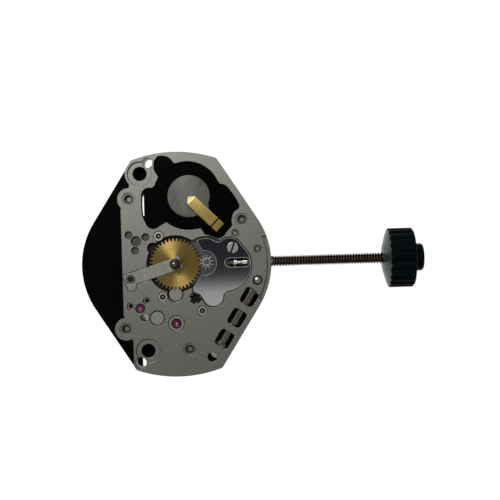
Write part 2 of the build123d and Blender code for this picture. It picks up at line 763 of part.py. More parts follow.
# Black plastic base: fills the battery window, stands up as the left crescent, carries the rest
with BuildPart() as module_base:
    with BuildSketch(Plane.XY.offset(base_back)):
        add(offset(body_outline.sketch, -seat_gap, mode=Mode.PRIVATE))
    extrude(amount=base_depth)
    with BuildSketch(Plane.XY.offset(plate_back)):
        add(body_outline.sketch)
        add(offset(plate_outline.sketch, seat_gap, mode=Mode.PRIVATE), mode=Mode.SUBTRACT)
    extrude(amount=plate_thickness - crescent_drop)
    with BuildSketch(Plane.XY.offset(plate_back)):
        add(offset(window_outline.sketch, -seat_gap, mode=Mode.PRIVATE))
    extrude(amount=plate_thickness - seat_fill_drop)
    rod(cell_centre, cell_diameter + 4 * part_gap - 2 * seat_gap, plate_back, -seat_ring_drop - seat_gap)
    # Seat of the cell
    rod(cell_centre, seat_ring_diameter, -seat_ring_drop, 0, Mode.SUBTRACT)
    rod(cell_centre, seat_hole_diameter, -cell_drop - overrun, 0, Mode.SUBTRACT)
    rod(seat_bite, seat_bite_diameter, -cell_drop - overrun, 0, Mode.SUBTRACT)
    cell_bore_top = -seat_ring_drop - seat_floor
    rod(cell_centre, cell_diameter + 2 * part_gap, base_back - overrun, cell_bore_top, Mode.SUBTRACT)
    # Slit beside the cell and its well
    with BuildSketch(Plane.XY.offset(plate_back)):
        bar(slit_ends[0], slit_ends[1], slit_width)
    extrude(amount=plate_thickness, mode=Mode.SUBTRACT)
    with BuildSketch(Plane.XY.offset(base_back - overrun)):
        bar(slit_well_ends[0], slit_well_ends[1], slit_well_width)
    extrude(amount=base_depth + overrun, mode=Mode.SUBTRACT)
    # Train, motor and coil chambers
    with BuildSketch(Plane.XY.offset(base_back - overrun)):
        for place, diameter in chamber_places:
            disc(place, diameter)
        with Locations(coil_centre):
            Rectangle(trough_length, trough_width, rotation=coil_direction)
        bar(core_ends[0], core_ends[1], core_tab_width + 2 * part_gap)
    extrude(amount=base_depth + overrun, mode=Mode.SUBTRACT)
    with BuildSketch(Plane.XY.offset(base_back - overrun)):
        add(offset(stator_outline.sketch, part_gap, mode=Mode.PRIVATE))
    extrude(amount=stator_top + part_gap - base_back + overrun, mode=Mode.SUBTRACT)
    # Keyless room
    with BuildSketch(Plane.XY.offset(-block_height - 2 * part_gap)):
        with Locations((pilot_start - part_gap, 0)):
            Rectangle(
                movement_width,
                2 * stem_thread_diameter + 2 * part_gap,
                align=(Align.MIN, Align.CENTER),
            )
        keyless_bars(part_gap)
    extrude(amount=block_height + 2 * part_gap - plate_thickness, mode=Mode.SUBTRACT)
    # Crystal and chip chamber under the crescent
    with BuildSketch(Plane.XY.offset(base_back - overrun)):
        with Locations(crystal_place):
            Rectangle(crystal_diameter + 2 * wheel_gap, crystal_length + 2 * wheel_gap)
        with Locations(chip_place):
            Rectangle(chip_width + 2 * wheel_gap, chip_length + 2 * wheel_gap)
    chamber_top = -crystal_drop + crystal_diameter / 2 + wheel_gap
    extrude(amount=chamber_top - base_back + overrun, mode=Mode.SUBTRACT)
    # Holes that pass the plate's own
    for place in (upper_case_screw, lower_case_screw):
        rod(place, case_hole_diameter, -case_hole_depth, 0, Mode.SUBTRACT)
    rod(upper_foot, upper_foot_diameter, base_back - overrun, 0, Mode.SUBTRACT)
    rod(lower_foot, lower_foot_diameter, base_back - overrun, 0, Mode.SUBTRACT)
    for place in pillar_places:
        rod(place, pillar_diameter, base_back - overrun, plate_back, Mode.SUBTRACT)
    for place in stud_places:
        rod(place, stud_diameter, base_back - overrun, plate_back, Mode.SUBTRACT)
    rod(sight_hole, plug_diameter, base_back - overrun, plate_back, Mode.SUBTRACT)
module_base.part.label = "module_base"

# Battery cell: can with its raised negative cap towards the dial
with BuildPart() as battery_cell:
    with BuildSketch(Plane.XY.offset(cell_back)):
        disc(cell_centre, cell_diameter)
    extrude(amount=cell_height - cell_cap_height)
    fillet(battery_cell.edges().group_by(Axis.Z)[-1], cell_edge)
    with BuildSketch(Plane.XY.offset(cell_back)):
        disc(cell_centre, cell_cap_diameter)
    extrude(amount=cell_height)
    fillet(battery_cell.edges().group_by(Axis.Z)[-1], cap_edge)
battery_cell.part.label = "battery_cell"


# Battery contact: a strip on edge view, from its foot over the seat ring down onto the cap
contact_tail_share = (0.72, -0.77)
contact_end_share = (-0.02, -0.03)
contact_tail = around(cell_centre, cell_diameter / 2, contact_tail_share)
contact_end = around(cell_centre, cell_diameter / 2, contact_end_share)
contact_reach = distance_of(contact_tail, contact_end)
contact_bearing = bearing_of(contact_tail, contact_end)
contact_plane = Plane(
    origin=(contact_tail[0], contact_tail[1], 0),
    x_dir=(cos(radians(contact_bearing)), sin(radians(contact_bearing)), 0),
    z_dir=(sin(radians(contact_bearing)), -cos(radians(contact_bearing)), 0),
)
contact_foot_height = -seat_fill_drop + contact_thickness / 2
contact_run_height = contact_foot_height + contact_rise
contact_end_height = -cell_drop + contact_thickness / 2
with BuildPart() as battery_contact:
    with BuildSketch(contact_plane) as contact_profile:
        with BuildLine() as contact_path:
            Polyline(
                (-contact_foot_length, contact_foot_height),
                (0, contact_foot_height),
                (contact_rise, contact_run_height),
                (contact_reach - contact_tip_length, contact_run_height),
                (contact_reach, contact_end_height),
            )
            offset(amount=contact_thickness / 2)
        make_face()
    extrude(amount=contact_width / 2, both=True)
    # Pointed tip
    with BuildSketch(Plane.XY.offset(-cell_drop - overrun)):
        with Locations(contact_end):
            with Locations(Rotation(0, 0, contact_bearing)):
                Polygon(
                    (-contact_tip_length, contact_width),
                    (contact_width, contact_width),
                    (contact_width, -contact_width),
                    (-contact_tip_length, -contact_width),
                    (-contact_tip_length, -contact_width / 2),
                    (part_gap, 0),
                    (-contact_tip_length, contact_width / 2),
                    align=None,
                )
    extrude(amount=cell_drop + 2 * overrun, mode=Mode.SUBTRACT)
battery_contact.part.label = "battery_contact"

# Ruby jewels: one in the plate, one in a metal ring
jewel_places = [intermediate_place, rotor_place]


with BuildSketch(Plane.XZ) as jewel_section:
    with BuildLine():
        Polyline(
            (pivot_diameter / 2 + running_gap, -bearing_drop - jewel_thickness),
            (jewel_diameter / 2, -bearing_drop - jewel_thickness),
            (jewel_diameter / 2, -bearing_drop),
            (jewel_cup_diameter / 2, -bearing_drop),
            (pivot_diameter / 2 + running_gap, -bearing_drop - jewel_cup_depth),
            close=True,
        )
    make_face()
with BuildPart() as jewel_blank:
    add(jewel_section.sketch)
    revolve(axis=Axis.Z)
with BuildPart() as ruby_jewels:
    for place in jewel_places:
        with Locations((place[0], place[1], 0)):
            add(jewel_blank.part)
ruby_jewels.part.label = "ruby_jewels"

# Metal bearings: the ring round the rotor's jewel and the discs of two wheels
with BuildPart() as bearing_discs:
    rod(rotor_place, jewel_ring_diameter, -jewel_thickness - bearing_drop, -bearing_drop / 2)
    rod(rotor_place, jewel_diameter, -jewel_thickness - bearing_drop, 0, Mode.SUBTRACT)
    rod(step_place, bearing_disc_diameter, -bearing_disc_thickness - bearing_drop, -bearing_drop)
    rod(third_place, bearing_disc_diameter, third_bearing_back, -hour_recess_depth)
    for place in (step_place, third_place):
        rod(place, pivot_diameter + 2 * running_gap, plate_back, 0, Mode.SUBTRACT)
bearing_discs.part.label = "bearing_discs"

# Riveted studs: two go down as posts for the bridge, one ends with the plate
with BuildPart() as plate_studs:
    for place, foot in zip(stud_places, (base_back, plate_back, base_back)):
        rod(place, stud_diameter, plate_back, 0)
        if foot < plate_back:
            rod(place, stud_diameter - 2 * stud_groove, foot, plate_back)
            rod(place, bridge_screw_diameter, foot, foot + bridge_screw_length, Mode.SUBTRACT)
        rod(place, stud_diameter - 2 * stud_groove_depth, -stud_groove_depth, 0, Mode.SUBTRACT)
        rod(place, stud_diameter - 4 * stud_groove_depth, -stud_groove_depth, 0)
        rod(place, stud_hole_diameter, -stud_hole_depth, 0, Mode.SUBTRACT)
plate_studs.part.label = "plate_studs"

# Small plugs with a centre hole, set below the plate's face
with BuildPart() as hole_plugs:
    for place in plug_places:
        rod(place, plug_diameter, plate_back, -blind_depth)
        rod(place, stud_hole_diameter, -2 * blind_depth, -blind_depth, Mode.SUBTRACT)
hole_plugs.part.label = "hole_plugs"

# Domed locating dowel
with BuildPart() as locating_dowel:
    rod(dowel_place, dowel_diameter, plate_back, dowel_height)
    fillet(locating_dowel.edges().group_by(Axis.Z)[-1], dowel_dome_share * dowel_height)
locating_dowel.part.label = "locating_dowel"

# Pillar tubes pressed into the plate, and the screws that come up through them
strap_back = cell_back - strap_thickness
pillar_feet = [base_back, base_back, board_back, board_back]
screw_seats = [strap_back, sheet_back, strap_back, sheet_back]
with BuildPart() as plate_pillars:
    for place, foot in zip(pillar_places, pillar_feet):
        rod(place, pillar_diameter, foot, -pillar_top_drop)
        rod(place, pillar_bore, foot, -pillar_top_drop, Mode.SUBTRACT)
plate_pillars.part.label = "plate_pillars"
with BuildPart() as pillar_screws:
    for place, seat in zip(pillar_places, screw_seats):
        rod(place, bridge_screw_diameter, seat, -pillar_top_drop)
        rod(place, pillar_screw_head, seat - pillar_screw_head_height, seat)
        with Locations((place[0], place[1], seat - pillar_screw_head_height)):
            Box(
                pillar_screw_head + overrun,
                screw_slot_width,
                2 * screw_slot_depth,
                rotation=(0, 0, coil_direction),
                mode=Mode.SUBTRACT,
            )
pillar_screws.part.label = "pillar_screws"

# Bush of the cannon pinion and the stud of the minute wheel
with BuildPart() as centre_bush:
    rod(hands_axis, centre_bush_diameter, plate_back, -motion_floor_drop)
    rod(hands_axis, minute_shaft_diameter + 2 * running_gap, plate_back, -motion_floor_drop, Mode.SUBTRACT)
centre_bush.part.label = "centre_bush"
minute_stud_top = -hour_wheel_drop - hub_step
with BuildPart() as minute_stud:
    rod(minute_place, minute_stud_diameter, plate_back, minute_stud_top)
minute_stud.part.label = "minute_stud"

# Polished cover plate of the keyless works
with BuildPart() as keyless_cover:
    with BuildSketch(Plane.XY.offset(cover_back)):
        add(cover_outline.sketch)
        disc(cover_screw_place, screw_head_diameter + 2 * seat_gap, Mode.SUBTRACT)
        with Locations((slot_start + slot_length / 2, 0)):
            SlotOverall(slot_length, slot_width, mode=Mode.SUBTRACT)
    extrude(amount=cover_thickness)
keyless_cover.part.label = "keyless_cover"

# Its slotted screw
with BuildPart() as cover_screw:
    rod(cover_screw_place, screw_head_diameter, cover_back, cover_back + screw_head_height)
    chamfer(cover_screw.edges().group_by(Axis.Z)[-1], screw_slot_depth / 3)
    rod(cover_screw_place, screw_shank_diameter, -keyless_roof, cover_back)
    with Locations((cover_screw_place[0], cover_screw_place[1], cover_back + screw_head_height)):
        Box(
            screw_head_diameter,
            screw_slot_width,
            2 * screw_slot_depth,
            rotation=(0, 0, cover_screw_turn),
            mode=Mode.SUBTRACT,
        )
cover_screw.part.label = "cover_screw"

# Clip that holds the hour wheel down: an eye at its anchor and a fork round the hour pipe
fork_diameter = hour_pipe_foot_diameter + 2 * clip_fork_gap
with BuildPart() as hour_wheel_clip:
    with BuildSketch(Plane.XY.offset(clip_back)):
        add(clip_outline.sketch)
        disc(hands_axis, fork_diameter, Mode.SUBTRACT)
        bar(hands_axis, polar(hands_axis, clip_width, clip_bearing), fork_slot_width, Mode.SUBTRACT)
        disc(clip_anchor, clip_eye_diameter, Mode.SUBTRACT)
    extrude(amount=clip_thickness)
hour_wheel_clip.part.label = "hour_wheel_clip"

# Phases that put every pair of wheels in mesh at rest
cannon_phase = 0
minute_wheel_phase = meshing_phase(minute_bearing, cannon_phase, cannon_teeth, minute_wheel_teeth)
minute_pinion_phase = 360 / minute_pinion_teeth / 3
hour_phase = meshing_phase(minute_bearing + 180, minute_pinion_phase, minute_pinion_teeth, hour_teeth)
centre_phase = 0
third_pinion_phase = meshing_phase(third_bearing, centre_phase, centre_teeth, third_pinion_teeth)
third_phase = 0
intermediate_pinion_phase = meshing_phase(
    intermediate_bearing, third_phase, third_teeth, intermediate_pinion_teeth
)
intermediate_phase = 0
step_pinion_phase = meshing_phase(step_bearing, intermediate_phase, intermediate_teeth, step_pinion_teeth)
step_phase = 0
rotor_phase = meshing_phase(rotor_bearing, step_phase, step_teeth, rotor_teeth)

# Hour wheel: toothed disc, low hub below and the pipe for the hour hand above
hour_top = -hour_wheel_drop
hour_back = hour_top - hour_wheel_thickness
with BuildPart() as hour_wheel:
    with BuildSketch(Plane.XY.offset(hour_back)):
        gear(hands_axis, hour_teeth, hour_module, hour_phase)
    extrude(amount=hour_wheel_thickness)
    rod(hands_axis, hour_hub_diameter, hour_back - hub_step, hour_back)
    rod(hands_axis, hour_pipe_diameter, hour_seat_height, hour_pipe_height)
    chamfer(hour_wheel.edges().group_by(Axis.Z)[-1], hub_step)
    with Locations((0, 0, hour_top)):
        Cone(
            hour_pipe_foot_diameter / 2,
            hour_pipe_diameter / 2,
            hour_seat_height - hour_top,
            align=(Align.CENTER, Align.CENTER, Align.MIN),
        )
    hour_bore = minute_shaft_diameter + 2 * running_gap
    rod(hands_axis, hour_bore, hour_back - hub_step - overrun, hour_pipe_height + overrun, Mode.SUBTRACT)
hour_wheel.part.label = "hour_wheel"

# Cannon pinion: leaves, the domed post for the minute hand and the shaft down to the bridge
cannon_top = -motion_drop + part_gap
cannon_back = cannon_top - cannon_face
shaft_back = base_back - pivot_length
with BuildPart() as cannon_pinion:
    with BuildSketch(Plane.XY.offset(cannon_back)):
        gear(hands_axis, cannon_teeth, cannon_module, cannon_phase)
    extrude(amount=cannon_face)
    rod(hands_axis, minute_shaft_diameter, base_back + running_gap, cannon_back)
    with Locations((0, 0, cannon_back)):
        Cone(
            minute_shaft_diameter / 2,
            minute_shaft_diameter / 2 - minute_shaft_taper,
            minute_seat_height - cannon_back,
            align=(Align.CENTER, Align.CENTER, Align.MIN),
        )
    rod(hands_axis, minute_post_diameter, minute_seat_height, minute_post_height)
    fillet(cannon_pinion.edges().group_by(Axis.Z)[-1], minute_post_diameter * post_dome_share)
    rod(hands_axis, 2 * pivot_diameter, shaft_back, base_back + running_gap)
cannon_pinion.part.label = "cannon_pinion"

# Minute wheel and its pinion, turning together on the stud
minute_wheel_top = -motion_drop
minute_wheel_back = minute_wheel_top - motion_wheel_thickness
minute_bore = minute_stud_diameter + 2 * running_gap
with BuildPart() as minute_wheel:
    with BuildSketch(Plane.XY.offset(minute_wheel_back)):
        gear(minute_place, minute_wheel_teeth, cannon_module, minute_wheel_phase)
        disc(minute_place, minute_bore, Mode.SUBTRACT)
    extrude(amount=motion_wheel_thickness)
minute_wheel.part.label = "minute_wheel"
with BuildPart() as minute_pinion:
    with BuildSketch(Plane.XY.offset(minute_wheel_top)):
        gear(minute_place, minute_pinion_teeth, hour_module, minute_pinion_phase)
        disc(minute_place, minute_bore, Mode.SUBTRACT)
    extrude(amount=minute_stud_top - minute_wheel_top)
minute_pinion.part.label = "minute_pinion"

# Wheels of the going train. Each sits on the arbor that carries its pinion


def train_wheel(centre, teeth, module, phase, bore):
    """A wheel's face with its bore and its lightening holes, in the sketch that is open."""
    gear(centre, teeth, module, phase)
    disc(centre, bore, Mode.SUBTRACT)
    pitch_radius = teeth * module / 2
    with Locations(centre):
        with PolarLocations(lightening_share * pitch_radius, lightening_count):
            Circle(pitch_radius * (1 - lightening_share) / 2, mode=Mode.SUBTRACT)


def pinion_level(level):
    """The heights between which the pinion that meets a level's wheel stands."""
    top = wheel_tops[level] + (pinion_face - train_wheel_thickness) / 2
    return top - pinion_face, top


with BuildPart() as centre_wheel:
    with BuildSketch(Plane.XY.offset(wheel_tops[0] - train_wheel_thickness)):
        train_wheel(hands_axis, centre_teeth, centre_module, centre_phase, minute_shaft_diameter)
    extrude(amount=train_wheel_thickness)
centre_wheel.part.label = "centre_wheel"

with BuildPart() as third_wheel:
    with BuildSketch(Plane.XY.offset(wheel_tops[1] - train_wheel_thickness)):
        train_wheel(third_place, third_teeth, third_module, third_phase, arbor_diameter)
    extrude(amount=train_wheel_thickness)
third_wheel.part.label = "third_wheel"

with BuildPart() as intermediate_wheel:
    with BuildSketch(Plane.XY.offset(wheel_tops[2] - train_wheel_thickness)):
        train_wheel(
            intermediate_place,
            intermediate_teeth,
            intermediate_module,
            intermediate_phase,
            arbor_diameter,
        )
    extrude(amount=train_wheel_thickness)
intermediate_wheel.part.label = "intermediate_wheel"

with BuildPart() as step_wheel:
    with BuildSketch(Plane.XY.offset(wheel_tops[3] - train_wheel_thickness)):
        train_wheel(step_place, step_teeth, step_module, step_phase, arbor_diameter)
    extrude(amount=train_wheel_thickness)
step_wheel.part.label = "step_wheel"


def arbor(centre, top, pivot_top):
    """An arbor with a pivot at each end, in the part that is open."""
    rod(centre, arbor_diameter, base_back + running_gap, top)
    rod(centre, pivot_diameter, top, pivot_top)
    rod(centre, pivot_diameter, base_back - pivot_length, base_back + running_gap)


third_arbor_top = third_bearing_back - running_gap
with BuildPart() as third_pinion:
    arbor(third_place, third_arbor_top, third_arbor_top + pivot_length)
    low, high = pinion_level(0)
    with BuildSketch(Plane.XY.offset(low)):
        gear(third_place, third_pinion_teeth, centre_module, third_pinion_phase)
    extrude(amount=high - low)
third_pinion.part.label = "third_pinion"

with BuildPart() as intermediate_pinion:
    arbor(intermediate_place, -arbor_top_drop, -arbor_top_drop + jewel_thickness)
    low, high = pinion_level(1)
    with BuildSketch(Plane.XY.offset(low)):
        gear(intermediate_place, intermediate_pinion_teeth, third_module, intermediate_pinion_phase)
    extrude(amount=high - low)
intermediate_pinion.part.label = "intermediate_pinion"

with BuildPart() as step_pinion:
    arbor(step_place, -arbor_top_drop, -arbor_top_drop + bearing_disc_thickness)
    low, high = pinion_level(2)
    with BuildSketch(Plane.XY.offset(low)):
        gear(step_place, step_pinion_teeth, intermediate_module, step_pinion_phase)
    extrude(amount=high - low)
step_pinion.part.label = "step_pinion"

with BuildPart() as rotor_pinion:
    arbor(rotor_place, -arbor_top_drop, -arbor_top_drop + jewel_thickness)
    low, high = pinion_level(3)
    with BuildSketch(Plane.XY.offset(low)):
        gear(rotor_place, rotor_teeth, step_module, rotor_phase)
    extrude(amount=high - low)
rotor_pinion.part.label = "rotor_pinion"

with BuildPart() as rotor_magnet:
    rod(rotor_place, rotor_magnet_diameter, magnet_back, magnet_top)
    rod(rotor_place, arbor_diameter, magnet_back, magnet_top, Mode.SUBTRACT)
rotor_magnet.part.label = "rotor_magnet"

# Stator: one sheet round the magnet whose arms reach the ends of the coil's core
with BuildPart() as stator:
    with BuildSketch(Plane.XY.offset(stator_back)):
        add(stator_outline.sketch)
        disc(rotor_place, rotor_magnet_diameter + 2 * magnet_gap, Mode.SUBTRACT)
        disc(stud_places[2], stud_diameter + 2 * part_gap, Mode.SUBTRACT)
    extrude(amount=stator_thickness)
stator.part.label = "stator"

# Coil: core with its two tabs, end flanges and the winding between them
coil_plane = Plane(
    origin=(coil_centre[0], coil_centre[1], -coil_drop),
    x_dir=(sin(radians(coil_direction)), -cos(radians(coil_direction)), 0),
    z_dir=(cos(radians(coil_direction)), sin(radians(coil_direction)), 0),
)
with BuildPart() as coil_core:
    with BuildSketch(coil_plane.offset(-core_reach)):
        Rectangle(core_width, core_thickness)
    extrude(amount=2 * core_reach)
    for place in core_ends:
        rod(place, core_tab_width, stator_top, -coil_drop + core_thickness / 2)
coil_core.part.label = "coil_core"
with BuildPart() as coil_flanges:
    for side in (-1, 1):
        inner = side * coil_length / 2 - coil_flange_thickness / 2 - side * coil_flange_thickness / 2
        with BuildSketch(coil_plane.offset(inner)):
            Circle(coil_flange_diameter / 2)
            Rectangle(core_width, core_thickness, mode=Mode.SUBTRACT)
        extrude(amount=coil_flange_thickness)
coil_flanges.part.label = "coil_flanges"
winding_length = coil_length - 2 * coil_flange_thickness
with BuildPart() as coil_winding:
    with BuildSketch(coil_plane.offset(-winding_length / 2)):
        Circle(coil_diameter / 2)
        Rectangle(core_width, core_thickness, mode=Mode.SUBTRACT)
    extrude(amount=winding_length)
coil_winding.part.label = "coil_winding"

# Winding stem: pilot, square for the clutch, groove for the lever, bearing and threaded length
body_edge = axis_offset + movement_width / 2
crown_face = body_edge + visible_stem
stem_end = crown_face + crown_length * stem_in_crown_share
square_end = clutch_start + clutch_length + stem_pull - part_gap
with BuildPart() as winding_stem:
    with BuildSketch(stem_line.offset(pilot_start)):
        Circle(stem_pilot_diameter / 2)
    extrude(amount=pilot_length + part_gap)
    with BuildSketch(stem_line.offset(pilot_start + pilot_length + part_gap)):
        Rectangle(stem_square, stem_square)
    extrude(amount=square_end - pilot_start - pilot_length - part_gap)
    with BuildSketch(stem_line.offset(square_end)):
        Circle(stem_bearing_diameter / 2)
    extrude(amount=groove_start - square_end)
    with BuildSketch(stem_line.offset(groove_start)):
        Circle(stem_groove_diameter / 2)
    extrude(amount=stem_groove_width)
    with BuildSketch(stem_line.offset(groove_start + stem_groove_width)):
        Circle(stem_bearing_diameter / 2)
    extrude(amount=body_edge + part_gap - groove_start - stem_groove_width)
    with BuildSketch(stem_line.offset(body_edge + part_gap)):
        Circle(stem_thread_diameter / 2)
    extrude(amount=stem_end - body_edge - part_gap)
winding_stem.part.label = "winding_stem"

# Sliding pinion (clutch): face teeth towards the hands' axis, a groove for the yoke, square bore
clutch_groove_start = clutch_start + clutch_length * clutch_groove_share - clutch_groove_width / 2
with BuildPart() as sliding_pinion:
    with BuildSketch(stem_line.offset(clutch_start)):
        Circle(clutch_diameter / 2)
    extrude(amount=clutch_length)
    with BuildSketch(stem_line.offset(clutch_groove_start)):
        Circle(clutch_diameter / 2 + overrun)
        Circle(clutch_groove_diameter / 2, mode=Mode.SUBTRACT)
    extrude(amount=clutch_groove_width, mode=Mode.SUBTRACT)
    tooth_gap_width = pi * clutch_diameter / clutch_teeth / 2
    with BuildSketch(stem_line.offset(clutch_start - overrun)):
        with PolarLocations(0, clutch_teeth):
            Rectangle(clutch_diameter, tooth_gap_width, align=(Align.MIN, Align.CENTER))
        Circle(stem_square, mode=Mode.SUBTRACT)
    extrude(amount=clutch_tooth_length + overrun, mode=Mode.SUBTRACT)
    with BuildSketch(stem_line.offset(clutch_start - overrun)):
        Rectangle(stem_square + 2 * running_gap, stem_square + 2 * running_gap)
    extrude(amount=clutch_length + 2 * overrun, mode=Mode.SUBTRACT)
sliding_pinion.part.label = "sliding_pinion"

# Crown: coned face towards the movement, fluted rim, and the small knob on its far side
crown_back = crown_face + crown_cone_length + crown_length
with BuildPart() as crown:
    with BuildSketch(Plane.XZ) as crown_section:
        with BuildLine():
            Polyline(
                (crown_face, stem_height),
                (crown_face, stem_height + stem_thread_diameter),
                (crown_face + crown_cone_length, stem_height + crown_cone_share * crown_diameter / 2),
                (crown_face + crown_cone_length + crown_edge, stem_height + crown_diameter / 2),
                (crown_back - crown_edge, stem_height + crown_diameter / 2),
                (crown_back, stem_height + crown_diameter / 2 - crown_edge),
                (crown_back, stem_height),
                close=True,
            )
        make_face()
    revolve(axis=Axis((0, 0, stem_height), (1, 0, 0)))
    flute_centre = crown_diameter / 2 + crown_flute_radius - crown_flute_depth
    with BuildSketch(stem_line.offset(crown_face - overrun)):
        with PolarLocations(flute_centre, crown_flutes):
            Circle(crown_flute_radius)
    extrude(amount=crown_back - crown_face + 2 * overrun, mode=Mode.SUBTRACT)
    with BuildSketch(stem_line.offset(crown_face - overrun)):
        Circle(stem_thread_diameter / 2)
    extrude(amount=stem_end - crown_face + overrun, mode=Mode.SUBTRACT)
crown.part.label = "crown"
with BuildPart() as crown_hub:
    with BuildSketch(stem_line.offset(crown_back)):
        Circle(hub_diameter / 2)
    extrude(amount=hub_length)
    fillet(crown_hub.edges().group_by(Axis.X)[-1], hub_edge)
crown_hub.part.label = "crown_hub"

# Setting lever: turns on its stud, its pin lies in the stem's groove
with BuildPart() as setting_lever:
    with BuildSketch(Plane.XY.offset(lever_back)):
        bar(lever_stud, lever_pin_place, lever_width)
        bar(lever_stud, lever_arm_end, lever_width * arm_width_share)
    extrude(amount=lever_thickness)
    rod(lever_stud, lever_stud_diameter, lever_back, -keyless_roof / 4)
    rod(lever_pin_place, lever_pin_diameter, stem_height - stem_groove_diameter / 2, lever_back)
setting_lever.part.label = "setting_lever"

# Yoke: turns on its stud, its bent finger lies in the clutch's groove
yoke_end = (yoke_finger_place[0], yoke_finger_place[1] + yoke_width / 2)
with BuildPart() as yoke:
    with BuildSketch(Plane.XY.offset(lever_back)):
        bar(yoke_stud, yoke_end, yoke_width)
    extrude(amount=lever_thickness)
    rod(yoke_stud, lever_stud_diameter, lever_back, -keyless_roof / 4)
    with Locations((yoke_finger_place[0], yoke_finger_place[1], stem_height)):
        Box(
            yoke_finger_width,
            yoke_width,
            lever_back - stem_height + lever_thickness / 2,
            align=(Align.CENTER, Align.MIN, Align.MIN),
        )
yoke.part.label = "yoke"

# Leaf spring at the yoke's side, which rests on the wall of the keyless room
spring_tip = polar(yoke_stud, yoke_spring_reach, bearing_of(yoke_stud, yoke_end) - yoke_spring_turn)
with BuildPart() as yoke_spring:
    with BuildSketch(Plane.XY.offset(lever_back)):
        bar(yoke_stud, spring_tip, yoke_spring_wire)
        bar(yoke_stud, yoke_end, yoke_width, Mode.SUBTRACT)
    extrude(amount=lever_thickness)
yoke_spring.part.label = "yoke_spring"

# Train bridge with the lower bearings
bridge_bearings = [third_place, intermediate_place, step_place, rotor_place]
bridge_screw_places = [stud_places[0], stud_places[2]]
with BuildPart() as train_bridge:
    with BuildSketch(Plane.XY.offset(board_back)):
        add(bridge_outline.sketch)
        for place in bridge_bearings:
            disc(place, pivot_diameter + 2 * running_gap, Mode.SUBTRACT)
        disc(hands_axis, 2 * pivot_diameter + 2 * running_gap, Mode.SUBTRACT)
        for place in bridge_screw_places:
            disc(place, bridge_screw_diameter, Mode.SUBTRACT)
    extrude(amount=board_thickness)
    for place in bridge_screw_places:
        rod(place, bridge_screw_head, board_back, board_back + bridge_screw_head_height, Mode.SUBTRACT)
train_bridge.part.label = "train_bridge"

# Circuit board round the bridge, the cell and the coil
with BuildPart() as circuit_board:
    with BuildSketch(Plane.XY.offset(board_back)):
        add(offset(body_outline.sketch, -back_margin, mode=Mode.PRIVATE))
        disc(cell_centre, cell_diameter + 4 * part_gap, Mode.SUBTRACT)
        add(offset(bridge_outline.sketch, part_gap, mode=Mode.PRIVATE), mode=Mode.SUBTRACT)
        with Locations(coil_centre):
            Rectangle(
                2 * core_reach + core_tab_width,
                coil_flange_diameter + 2 * part_gap,
                rotation=coil_direction,
                mode=Mode.SUBTRACT,
            )
        with Locations((0, 0)):
            Rectangle(movement_width, movement_length, align=(Align.MIN, Align.CENTER), mode=Mode.SUBTRACT)
        for place in pillar_places:
            disc(place, pillar_bore, Mode.SUBTRACT)
        disc(upper_foot, upper_foot_diameter, Mode.SUBTRACT)
        disc(lower_foot, lower_foot_diameter, Mode.SUBTRACT)
        bar(slit_well_ends[0], slit_well_ends[1], slit_well_width, Mode.SUBTRACT)
    extrude(amount=board_thickness)
circuit_board.part.label = "circuit_board"
with BuildPart() as integrated_circuit:
    with BuildSketch(Plane.XY.offset(base_back)):
        with Locations(chip_place):
            RectangleRounded(chip_width, chip_length, chip_height / 4)
    extrude(amount=chip_height)
    fillet(integrated_circuit.edges().group_by(Axis.Z)[-1], chip_height / 4)
integrated_circuit.part.label = "integrated_circuit"
with BuildPart() as quartz_crystal:
    with Locations((crystal_place[0], crystal_place[1], -crystal_drop)):
        Cylinder(crystal_diameter / 2, crystal_length, rotation=(90, 0, 0))
    fillet(quartz_crystal.edges(), crystal_diameter / 8)
quartz_crystal.part.label = "quartz_crystal"

# Thin steel cover of the circuit, with windows for the cell and the coil
with BuildPart() as circuit_cover:
    with BuildSketch(Plane.XY.offset(sheet_back)):
        add(offset(body_outline.sketch, -back_margin, mode=Mode.PRIVATE))
        disc(cell_centre, cell_diameter + 4 * part_gap, Mode.SUBTRACT)
        with Locations(coil_centre):
            Rectangle(coil_length, coil_flange_diameter, rotation=coil_direction, mode=Mode.SUBTRACT)
        for place in pillar_places:
            disc(place, pillar_bore, Mode.SUBTRACT)
        disc(upper_foot, upper_foot_diameter, Mode.SUBTRACT)
        disc(lower_foot, lower_foot_diameter, Mode.SUBTRACT)
        bar(slit_well_ends[0], slit_well_ends[1], slit_well_width, Mode.SUBTRACT)
        disc(rotor_place, rotor_magnet_diameter, Mode.SUBTRACT)
    extrude(amount=cover_sheet)
circuit_cover.part.label = "circuit_cover"

# Steel strap under the cell: the positive contact, held by two of the pillar screws. It bends round
# the slit's well
strap_pads = [pillar_places[0], pillar_places[2]]
strap_bend_share = (-1.38, 0.47)
strap_bend = around(cell_centre, cell_diameter / 2, strap_bend_share)
with BuildPart() as battery_strap:
    with BuildSketch(Plane.XY.offset(strap_back)):
        bar(strap_pads[0], strap_bend, strap_width)
        bar(strap_bend, cell_centre, strap_width)
        bar(cell_centre, strap_pads[1], strap_width)
    extrude(amount=strap_thickness)
    for place in strap_pads:
        rod(place, strap_width, strap_back, sheet_back)
        rod(place, pillar_bore, strap_back, sheet_back, Mode.SUBTRACT)
battery_strap.part.label = "battery_strap"

# Two screws of the train bridge, sunk in the bridge and hidden by the cover
bridge_seat = board_back + bridge_screw_head_height
with BuildPart() as bridge_screws:
    for place in bridge_screw_places:
        rod(place, bridge_screw_head, board_back, bridge_seat)
        rod(place, bridge_screw_diameter, bridge_seat, base_back + bridge_screw_length)
        with Locations((place[0], place[1], board_back)):
            Box(
                bridge_screw_head + overrun,
                screw_slot_width,
                screw_slot_depth,
                rotation=(0, 0, coil_direction),
                mode=Mode.SUBTRACT,
            )
bridge_screws.part.label = "bridge_screws"

